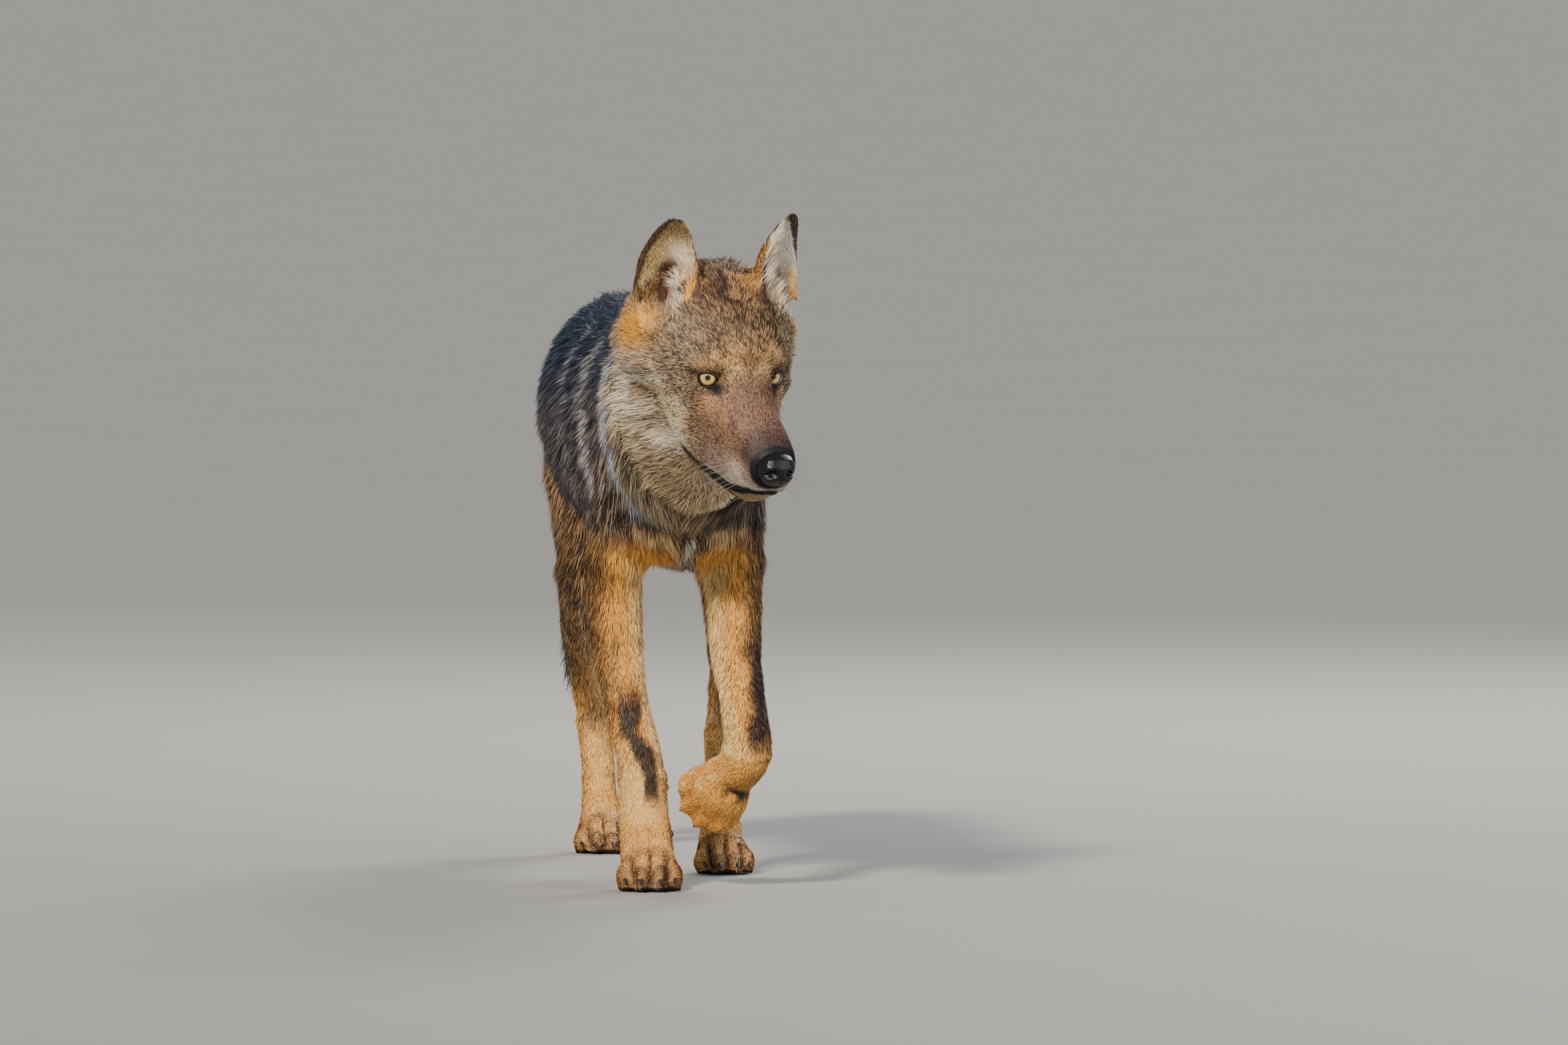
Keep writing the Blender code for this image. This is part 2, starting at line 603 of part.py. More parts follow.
def keep_largest(obj):
    bm = bmesh.new()
    bm.from_mesh(obj.data)
    parts = sorted(loose_parts(bm), key=len)
    rest = [vert for part in parts[:-1] for vert in part]
    bmesh.ops.delete(bm, geom=rest, context="VERTS")
    bm.to_mesh(obj.data)
    bm.free()


def make_eye(side, head):
    centre = head_frame() @ Vector((side * EYE_APART, EYE_DEPTH, 0.0))
    name = "eye_left" if side == LEFT else "eye_right"
    bm = bmesh.new()
    place = facing(centre, head_frame().to_3x3() @ Vector((side * 0.4, -1.0, 0.08)))
    bmesh.ops.create_uvsphere(bm, u_segments=16, v_segments=8, radius=EYE_RADIUS, matrix=place)
    eye = new_object(name, bm)
    bm = bmesh.new()
    bmesh.ops.create_uvsphere(
        bm, u_segments=16, v_segments=8, radius=EYE_RADIUS + 2 * GAP, matrix=place
    )
    socket = new_object("socket_" + name, bm)
    socket.hide_render = True
    socket.display_type = "WIRE"
    cut_away(head, socket)
    return eye


def nose_shape(name, grow):
    """The nose leather: a rounded block with a flat brow, and two nostrils cut into it."""
    bm = bmesh.new()
    bmesh.ops.create_cube(bm, size=1.0)
    bmesh.ops.subdivide_edges(bm, edges=bm.edges, cuts=2, use_grid_fill=True)
    for vert in bm.verts:
        flat = vert.co * 2
        ball = flat.normalized() * max(abs(flat.x), abs(flat.y), abs(flat.z))
        shape = flat.lerp(ball, 0.72)
        taper = 1.0 - 0.20 * max(0.0, -shape.z)
        vert.co = Vector((
            shape.x * (0.0215 + grow) * taper,
            shape.y * (0.0150 + grow),
            shape.z * (0.0175 + grow),
        ))
    lean = Matrix.Rotation(math.radians(-12), 4, "X")
    place = head_frame() @ Matrix.Translation(NOSE_AT) @ lean
    bmesh.ops.transform(bm, matrix=place, verts=bm.verts)
    return new_object(name, bm)


def make_nose(head):
    nose = nose_shape("nose", 0.0)
    seat = nose_shape("nose_seat", 2 * GAP)
    seat.hide_render = True
    seat.display_type = "WIRE"
    for side in (LEFT, RIGHT):
        bm = bmesh.new()
        place = head_frame() @ Matrix.Translation((side * 0.0105, -0.1315, -0.0425))
        add_ball(bm, (0, 0, 0), (0.0050, 0.0060, 0.0042), place)
        nostril = new_object("nostril", bm)
        nostril.hide_render = True
        nostril.display_type = "WIRE"
        cut_away(nose, nostril)
    cut_away(head, seat)
    keep_largest(head)
    return nose


def make_claw(name, place, foot, outward):
    """A short curved cone that leaves the toe forward and bends down to its tip."""
    bm = bmesh.new()
    segments, rows = 6, 4
    rings = []
    for i in range(rows):
        t = i / (rows - 1)
        radius = CLAW_RADIUS * (1 - t) ** 0.8 + 0.0005
        centre = Vector((0, -CLAW_LENGTH * t, -0.0045 * t * t))
        ring = []
        for j in range(segments):
            turn = 2 * math.pi * j / segments
            across, upward = radius * 0.8 * math.cos(turn), radius * math.sin(turn)
            ring.append(bm.verts.new(centre + Vector((across, 0, upward))))
        rings.append(ring)
    for before, after in zip(rings, rings[1:]):
        for i, vert in enumerate(before):
            j = (i + 1) % segments
            bm.faces.new((vert, before[j], after[j], after[i]))
    bm.faces.new(rings[0])
    bm.faces.new(rings[-1])
    bmesh.ops.transform(bm, matrix=place, verts=bm.verts)
    claw = new_object(name, bm)
    seat_on(claw, foot, outward)
    return claw


def make_claws(parts):
    claws = []
    for foot in FEET:
        for number, toe in enumerate(TOES, start=1):
            lift = 0.001 if foot == FOLDED else -0.001
            root = Matrix.Translation((0, -toe.long + 0.008, lift))
            place = toe_matrix(foot, toe) @ root
            ahead = place.to_3x3() @ Vector((0, -1, 0))
            claws.append(make_claw(f"claw_{foot}_{number}", place, parts[foot], ahead))
    for side, foot, at in (
        (LEFT, "forefoot_left", hand_frame() @ Matrix.Translation((-0.026, 0.030, -0.004))),
        (RIGHT, "forefoot_right", Matrix.Translation((-0.0125, 0.000, 0.062))),
    ):
        place = at @ Matrix.Rotation(math.radians(20 if side == LEFT else 62), 4, "X")
        off_foot = at.to_3x3() @ Vector((-side, -0.4, 0))
        claws.append(make_claw(f"dewclaw_{foot}", place, parts[foot], off_foot))
    return claws


# ---------------------------------------------------------------- finish

FINISHES = {  # base colour, roughness
    "coat_grey": ((0.23, 0.19, 0.15), 0.9),
    "coat_tan": ((0.55, 0.38, 0.21), 0.9),
    "coat_dark": ((0.09, 0.08, 0.08), 0.9),
    "eye": ((0.72, 0.50, 0.16), 0.1),
    "nose_leather": ((0.02, 0.02, 0.025), 0.4),
    "claw_horn": ((0.05, 0.045, 0.04), 0.5),
}


def finish_of(name):
    if name.startswith("eye"):
        return "eye"
    if name == "nose":
        return "nose_leather"
    if "claw" in name:
        return "claw_horn"
    if name == "tail":
        return "coat_dark"
    return "coat_tan" if "leg" in name or "foot" in name or "ear" in name else "coat_grey"


def set_material(obj):
    finish = finish_of(obj.name)
    material = bpy.data.materials.get(finish)
    if material is None:
        colour, roughness = FINISHES[finish]
        material = bpy.data.materials.new(finish)
        material.use_nodes = True
        shader = material.node_tree.nodes["Principled BSDF"]
        shader.inputs["Base Color"].default_value = (*colour, 1.0)
        shader.inputs["Roughness"].default_value = roughness
    obj.data.materials.clear()
    obj.data.materials.append(material)
    obj.data.shade_smooth()
    obj.data.set_sharp_from_angle(angle=math.radians(50))


def centre_on_floor(objects):
    """Sets the middle of the whole box over the origin, with the feet at height zero."""
    points = np.concatenate([points_of(obj) for obj in objects])
    low, high = points.min(axis=0), points.max(axis=0)
    shift = Matrix.Translation((-(low[0] + high[0]) / 2, -(low[1] + high[1]) / 2, -low[2]))
    for obj in objects:
        obj.data.transform(shift)


def main():
    clear_scene()
    body = make_body()
    ears = [make_ear(side) for side in (LEFT, RIGHT)]
    for ear in ears:
        seat_on(ear, body, head_frame().to_3x3() @ Vector((0, 0, 1)))
    parts = part_body(body)
    eyes = [make_eye(side, parts["head"]) for side in (LEFT, RIGHT)]
    nose = make_nose(parts["head"])
    claws = make_claws(parts)
    wolf = [*parts.values(), *ears, *eyes, nose, *claws]
    for helper in [obj for obj in bpy.data.objects if obj not in wolf]:
        bpy.data.objects.remove(helper)
    for obj in wolf:
        set_material(obj)
    centre_on_floor(wolf)


main()
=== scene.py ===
"""A young grey wolf in its winter-ready coat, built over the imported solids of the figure.

The solids give the outline out to the tips of the hair. Here one skin is drawn in under them by the
depth of the coat, the face is modelled, and hairs are laid over the skin as small solid blades that
follow the lie of the fur. Eyes, lids, nose leather, lips, claws and whiskers are pieces of their own.
"""

import math

import bmesh
import bpy
import numpy as np
from bpy.props import FloatProperty, FloatVectorProperty, IntProperty, PointerProperty
from mathutils import Matrix, Vector
from mathutils.bvhtree import BVHTree
from mathutils.kdtree import KDTree


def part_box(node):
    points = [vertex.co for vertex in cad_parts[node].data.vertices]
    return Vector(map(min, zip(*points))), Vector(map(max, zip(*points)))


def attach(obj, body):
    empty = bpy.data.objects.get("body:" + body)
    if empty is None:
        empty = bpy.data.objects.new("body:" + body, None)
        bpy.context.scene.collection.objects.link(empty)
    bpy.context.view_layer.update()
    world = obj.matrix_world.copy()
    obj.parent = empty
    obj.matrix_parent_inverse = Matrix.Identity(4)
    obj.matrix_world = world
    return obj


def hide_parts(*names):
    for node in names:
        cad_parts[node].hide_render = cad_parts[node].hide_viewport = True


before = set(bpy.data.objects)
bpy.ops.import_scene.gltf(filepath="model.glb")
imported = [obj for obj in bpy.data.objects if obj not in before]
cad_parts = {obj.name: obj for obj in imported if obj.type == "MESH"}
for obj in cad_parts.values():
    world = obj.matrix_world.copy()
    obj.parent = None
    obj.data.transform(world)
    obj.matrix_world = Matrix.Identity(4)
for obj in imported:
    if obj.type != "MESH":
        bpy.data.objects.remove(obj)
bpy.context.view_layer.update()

bl_info = {
    "name": "Walking Wolf",
    "version": (1, 0, 0),
    "blender": (4, 5, 0),
    "location": "3D View > Sidebar > Wolf",
    "description": "Skin, face and coat of a life-size walking wolf",
    "category": "Object",
}

LEFT, RIGHT = 1, -1
HEAD_TURN = math.radians(21)  # to the wolf's left
HEAD_DROP = math.radians(30)  # nose down
EYE_DEPTH = 0.0045  # how far the eyes' centres lie behind the head's origin
EYES_IN_BODY = Vector((0.0345, -0.360, 0.5675))  # the head's origin, in the body's own frame

FLESH = (
    "head", "neck", "trunk", "tail", "ear_left", "ear_right",
    "foreleg_right", "foreleg_left", "forefoot_right", "forefoot_left",
    "hindleg_right", "hindleg_left", "hindfoot_right", "hindfoot_left",
)
CLAWS = sorted(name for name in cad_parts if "claw" in name)


# ------------------------------------------------------------ frames of the head and body


def box_centre(node):
    low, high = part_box(node)
    return (low + high) / 2


def head_matrix():
    turn = Matrix.Rotation(HEAD_TURN, 4, "Z") @ Matrix.Rotation(HEAD_DROP, 4, "X")
    middle = (box_centre("eye_left") + box_centre("eye_right")) / 2
    origin = middle - turn.to_3x3() @ Vector((0, EYE_DEPTH, 0))
    return Matrix.Translation(origin) @ turn


HEAD = head_matrix()
BODY_AT = HEAD.translation - EYES_IN_BODY  # the body's own frame stands here


def into(matrix, points):
    """Points, in the frame that the matrix places."""
    inverse = np.array(matrix.inverted())
    return points @ inverse[:3, :3].T + inverse[:3, 3]


def in_head(points):
    """Points in the head's frame: x to the wolf's left, y back from the eyes, z up."""
    return into(HEAD, points)


def in_body(points):
    return points - np.array(BODY_AT)


def head_to_world(vectors):
    return vectors @ np.array(HEAD.to_3x3()).T


def world_to_head(vectors):
    return vectors @ np.array(HEAD.to_3x3())


def side_of(name):
    return LEFT if name.endswith("left") else RIGHT


def in_parts(labels, *words):
    """Which labels stand for a part whose name holds one of the words."""
    numbers = [i for i, name in enumerate(FLESH) if any(word in name for word in words)]
    return np.isin(labels, numbers)


# ------------------------------------------------------------ numbers


def ramp(low, high, x):
    t = np.clip((x - low) / (high - low), 0, 1)
    return t * t * (3 - 2 * t)


def bump_at(points, centre, radii):
    """1 at the centre, fading to 0 over the given radii."""
    away = (points - np.array(centre)) / np.array(radii)
    return np.exp(-np.sum(away * away, axis=1))


def radii_from(points, centre, radii):
    """How far each point lies from the centre, in radii."""
    return np.linalg.norm((points - np.array(centre)) / np.array(radii), axis=1)


def columns(x, y, z):
    return np.stack(np.broadcast_arrays(x, y, z), axis=1).astype(float)


def blend(start, end, share):
    return start + (end - start) * share[:, None]


def unit(vectors):
    return vectors / np.maximum(np.linalg.norm(vectors, axis=1, keepdims=True), 1e-9)


def hashed(cells, seed):
    """A fixed pseudo-random number from 0 to 1 for each whole-number cell."""
    big = cells.astype(np.int64) * np.array([374761393, 668265263, 1274126177])
    value = (big.sum(axis=1) + seed * 974634777) & 0xFFFFFFFF
    value = ((value ^ (value >> 13)) * 1103515245) & 0xFFFFFFFF
    value = ((value ^ (value >> 15)) * 12345701) & 0xFFFFFFFF
    return ((value >> 8) & 0xFFFF) / 65535.0


def cloud(points, size, seed):
    """Smooth noise from 0 to 1, in patches about `size` across."""
    scaled = points / size
    base = np.floor(scaled).astype(np.int64)
    t = scaled - base
    t = t * t * (3 - 2 * t)
    total = np.zeros(len(points))
    for corner in np.ndindex(2, 2, 2):
        corner = np.array(corner)
        weight = np.prod(np.where(corner, t, 1 - t), axis=1)
        total += weight * hashed(base + corner, seed)
    return total


# ------------------------------------------------------------ meshes


def new_piece(name, mesh, replaced=()):
    obj = bpy.data.objects.new(name, mesh)
    bpy.context.scene.collection.objects.link(obj)
    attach(obj, "root")
    if replaced:
        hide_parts(*replaced)
    return obj


def mesh_from(bm, name, smooth=True):
    mesh = bpy.data.meshes.new(name)
    bm.to_mesh(mesh)
    bm.free()
    if smooth:
        mesh.shade_smooth()
    return mesh


def add_piece(name, bm, material, replaced=()):
    mesh = mesh_from(bm, name)
    mesh.materials.append(material)
    return new_piece(name, mesh, replaced)


def joined(nodes, swell=0.0):
    """The solids of several nodes in one bmesh, their surfaces moved out by a little."""
    whole = bmesh.new()
    for node in nodes:
        bm = bmesh.new()
        bm.from_mesh(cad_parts[node].data)
        bmesh.ops.remove_doubles(bm, verts=bm.verts, dist=1e-5)
        bm.normal_update()
        for vert in bm.verts:
            vert.co += vert.normal * swell
        part = bpy.data.meshes.new("part")
        bm.to_mesh(part)
        bm.free()
        whole.from_mesh(part)
        bpy.data.meshes.remove(part)
    return whole


def placed(bm, matrix):
    """Moves a bmesh to its place and turns its faces outward."""
    bmesh.ops.transform(bm, matrix=matrix, verts=bm.verts)
    bmesh.ops.recalc_face_normals(bm, faces=bm.faces)
    return bm


def bridge(bm, rings):
    """Faces between each ring of vertices and the next."""
    for before, after in zip(rings, rings[1:]):
        for i, vert in enumerate(before):
            j = (i + 1) % len(before)
            bm.faces.new((vert, before[j], after[j], after[i]))


def skin_finder():
    """A function that gives the skin's nearest point and normal to a spot in the head's frame."""
    tree = BVHTree.FromObject(SKIN.obj, bpy.context.evaluated_depsgraph_get())
    return lambda spot: tree.find_nearest(HEAD @ Vector(spot))[:2]


def read_vectors(items, name):
    values = np.empty(len(items) * 3, np.float32)
    items.foreach_get(name, values)
    return values.reshape(-1, 3).astype(float)


def edges_of(mesh):
    pairs = np.empty(len(mesh.edges) * 2, np.int32)
    mesh.edges.foreach_get("vertices", pairs)
    return pairs.reshape(-1, 2)


def relaxed(values, edges, times, weight=0.5):
    """Values at the vertices, evened out with their neighbours'."""
    flat = values.reshape(len(values), -1).copy()
    count = np.bincount(edges.ravel(), minlength=len(flat))[:, None].clip(1)
    share = np.broadcast_to(np.asarray(weight, float).reshape(-1, 1), (len(flat), 1))
    for _ in range(times):
        around = np.empty_like(flat)
        for column in range(flat.shape[1]):
            ends = flat[edges[:, ::-1], column].ravel()
            around[:, column] = np.bincount(edges.ravel(), weights=ends, minlength=len(flat))
        flat += share * (around / count - flat)
    return flat.reshape(values.shape)


VIVIDNESS = 1.14  # how far every colour of the coat is drawn away from grey


def vivid(colours):
    grey = colours.mean(axis=1, keepdims=True)
    return np.clip(grey + (colours - grey) * VIVIDNESS, 0.002, 0.95)


def set_colours(mesh, colours):
    """Stores a colour for each vertex in the attribute that the coat's materials read."""
    layer = mesh.color_attributes.new("coat", "FLOAT_COLOR", "POINT")
    full = np.ones((len(colours), 4), np.float32)
    full[:, :3] = colours
    layer.data.foreach_set("color", full.ravel())


# ------------------------------------------------------------ the markings of the coat

# Each tone: the pale band of a hair, its dark tip, the wool at its root, and the share of dark hairs
TONES = {
    "forehead": ((0.430, 0.272, 0.152), (0.012, 0.008, 0.007), (0.044, 0.028, 0.019), 0.62),
    "crown": ((0.740, 0.410, 0.165), (0.024, 0.014, 0.010), (0.110, 0.062, 0.032), 0.46),
    "crown_line": ((0.160, 0.095, 0.055), (0.016, 0.011, 0.010), (0.030, 0.020, 0.015), 0.85),
    "ginger": ((0.780, 0.450, 0.215), (0.045, 0.025, 0.016), (0.230, 0.122, 0.060), 0.28),
    "temple": ((0.500, 0.365, 0.240), (0.013, 0.010, 0.010), (0.062, 0.045, 0.034), 0.54),
    "bridge": ((0.320, 0.178, 0.122), (0.030, 0.018, 0.017), (0.090, 0.050, 0.038), 0.48),
    "muzzle_tip": ((0.125, 0.074, 0.060), (0.016, 0.011, 0.012), (0.034, 0.020, 0.018), 0.64),
    "muzzle_side": ((0.330, 0.228, 0.185), (0.030, 0.021, 0.020), (0.090, 0.060, 0.050), 0.42),
    "lip_pale": ((0.700, 0.600, 0.500), (0.150, 0.112, 0.088), (0.310, 0.250, 0.203), 0.16),
    "lip_dark": ((0.022, 0.016, 0.018), (0.008, 0.006, 0.008), (0.009, 0.007, 0.008), 0.85),
    "chin": ((0.520, 0.350, 0.170), (0.060, 0.040, 0.028), (0.150, 0.095, 0.050), 0.28),
    "cheek": ((0.840, 0.680, 0.500), (0.026, 0.020, 0.018), (0.190, 0.140, 0.104), 0.45),
    "cheek_white": ((0.900, 0.800, 0.670), (0.220, 0.165, 0.125), (0.500, 0.405, 0.320), 0.14),
    "cheek_ochre": ((0.880, 0.670, 0.400), (0.100, 0.062, 0.036), (0.360, 0.240, 0.130), 0.20),
    "eye_pale": ((0.540, 0.315, 0.165), (0.070, 0.040, 0.026), (0.200, 0.115, 0.064), 0.28),
    "throat": ((0.620, 0.460, 0.280), (0.050, 0.036, 0.025), (0.160, 0.116, 0.072), 0.32),
    "ruff": ((0.540, 0.420, 0.280), (0.028, 0.021, 0.017), (0.120, 0.090, 0.062), 0.40),
    # dark fur of the ruff's lower edge, also laid as painted shade under the jaw, down the left of
    # the throat and in the chest's cleft
    "ruff_dark_and_shade": ((0.090, 0.055, 0.034), (0.012, 0.009, 0.008), (0.025, 0.016, 0.012), 0.75),
    # the pale band behind the cheek: pale fur, its blue tint a painted reflection of the sky
    "ruff_pale_and_sky_blue": ((0.800, 0.830, 0.980), (0.055, 0.060, 0.085), (0.290, 0.300, 0.360), 0.24),
    "nape": ((0.140, 0.136, 0.150), (0.008, 0.009, 0.014), (0.026, 0.026, 0.032), 0.70),
    # saddle: dark charcoal fur, made darker by painted shade and tinted blue by a painted reflection
    # of the sky
    "saddle_shade_and_sky_blue": ((0.070, 0.084, 0.135), (0.004, 0.006, 0.014), (0.011, 0.014, 0.026), 0.77),
    "flank": ((0.195, 0.155, 0.140), (0.011, 0.010, 0.013), (0.037, 0.030, 0.028), 0.62),
    "flank_band": ((0.620, 0.600, 0.620), (0.045, 0.044, 0.052), (0.200, 0.190, 0.195), 0.30),
    "shoulder": ((0.540, 0.400, 0.310), (0.020, 0.015, 0.015), (0.110, 0.080, 0.064), 0.50),
    "belly": ((0.500, 0.375, 0.235), (0.085, 0.060, 0.040), (0.230, 0.165, 0.102), 0.20),
    "chest": ((0.880, 0.590, 0.300), (0.120, 0.072, 0.040), (0.430, 0.270, 0.135), 0.20),
    "chest_tuft": ((0.700, 0.620, 0.510), (0.200, 0.160, 0.120), (0.360, 0.300, 0.230), 0.12),
    "leg": ((0.800, 0.400, 0.120), (0.190, 0.086, 0.030), (0.460, 0.220, 0.068), 0.14),
    "leg_cream": ((0.920, 0.620, 0.300), (0.470, 0.280, 0.130), (0.680, 0.430, 0.195), 0.06),
    "leg_brown": ((0.330, 0.178, 0.076), (0.033, 0.020, 0.013), (0.115, 0.062, 0.030), 0.46),
    "leg_grey": ((0.310, 0.245, 0.195), (0.050, 0.039, 0.033), (0.130, 0.102, 0.080), 0.34),
    "stripe": ((0.078, 0.048, 0.036), (0.011, 0.008, 0.008), (0.022, 0.015, 0.013), 0.80),
    "thigh": ((0.420, 0.255, 0.130), (0.036, 0.024, 0.017), (0.140, 0.084, 0.046), 0.42),
    "foot": ((0.780, 0.450, 0.200), (0.200, 0.108, 0.055), (0.430, 0.235, 0.100), 0.14),
    "toe": ((0.520, 0.310, 0.165), (0.080, 0.050, 0.034), (0.220, 0.130, 0.072), 0.26),
    "sole": ((0.080, 0.052, 0.042), (0.020, 0.014, 0.014), (0.032, 0.021, 0.019), 0.55),
    "tail": ((0.150, 0.122, 0.104), (0.012, 0.010, 0.010), (0.042, 0.034, 0.029), 0.66),
    # the black tip of the tail, also laid on the outer thighs as painted shade
    "tail_tip_and_shade": ((0.035, 0.028, 0.027), (0.006, 0.005, 0.006), (0.010, 0.009, 0.009), 0.88),
    "ear_back": ((0.560, 0.290, 0.110), (0.060, 0.033, 0.020), (0.250, 0.126, 0.052), 0.26),
    "ear_rim": ((0.150, 0.084, 0.045), (0.017, 0.011, 0.010), (0.044, 0.026, 0.018), 0.64),
    "ear_inside": ((0.640, 0.455, 0.220), (0.120, 0.078, 0.044), (0.280, 0.188, 0.098), 0.28),
    "ear_white": ((0.930, 0.840, 0.700), (0.600, 0.490, 0.370), (0.640, 0.520, 0.390), 0.04),
    "ear_orange": ((0.800, 0.400, 0.100), (0.170, 0.080, 0.028), (0.420, 0.200, 0.056), 0.15),
    "ear_canal": ((0.120, 0.045, 0.034), (0.030, 0.013, 0.012), (0.060, 0.022, 0.018), 0.45),
}


class Paint:
    """The tones of many hairs at once, laid one over another like washes of colour."""

    def __init__(self, count, tone):
        self.rows = np.tile(np.hstack(TONES[tone]), (count, 1))

    pale = property(lambda self: self.rows[:, 0:3])
    dark = property(lambda self: self.rows[:, 3:6])
    root = property(lambda self: self.rows[:, 6:9])
    share = property(lambda self: self.rows[:, 9])

    def lay(self, over, mask):
        """Washes a tone, or another paint, over this one where the mask is high."""
        rows = over.rows if isinstance(over, Paint) else np.hstack(TONES[over])
        self.rows = blend(self.rows, rows, np.clip(mask, 0, 1))


# The edge of the upper lip, from the middle of the muzzle to the corner, for one side
LIP = np.array([
    (0.0000, -0.1135, -0.0715),
    (0.0075, -0.1122, -0.0720),
    (0.0160, -0.1075, -0.0735),
    (0.0205, -0.1000, -0.0780),
    (0.0232, -0.0815, -0.0850),
    (0.0265, -0.0635, -0.0895),
    (0.0285, -0.0421, -0.0943),
    (0.0305, -0.0200, -0.0985),
    (0.0325, -0.0020, -0.1000),
    (0.0338, 0.0050, -0.0985),
])


def lip_points(per_span=8):
    spans = [LIP[0:1]]
    for start, end in zip(LIP, LIP[1:]):
        t = (np.arange(per_span) + 1)[:, None] / per_span
        spans.append(start + (end - start) * t)
    return np.concatenate(spans)


def distance_to_lip(h):
    """How far points in the head's frame lie from the edge of the lip, either side."""
    folded = h.copy()
    folded[:, 0] = np.abs(folded[:, 0])
    near = np.full(len(h), 1.0)
    close = np.linalg.norm(folded - np.array([0.025, -0.05, -0.085]), axis=1) < 0.12
    some = folded[close]
    best = np.full(len(some), 1.0)
    for point in lip_points():
        best = np.minimum(best, np.linalg.norm(some - point, axis=1))
    near[close] = best
    return near


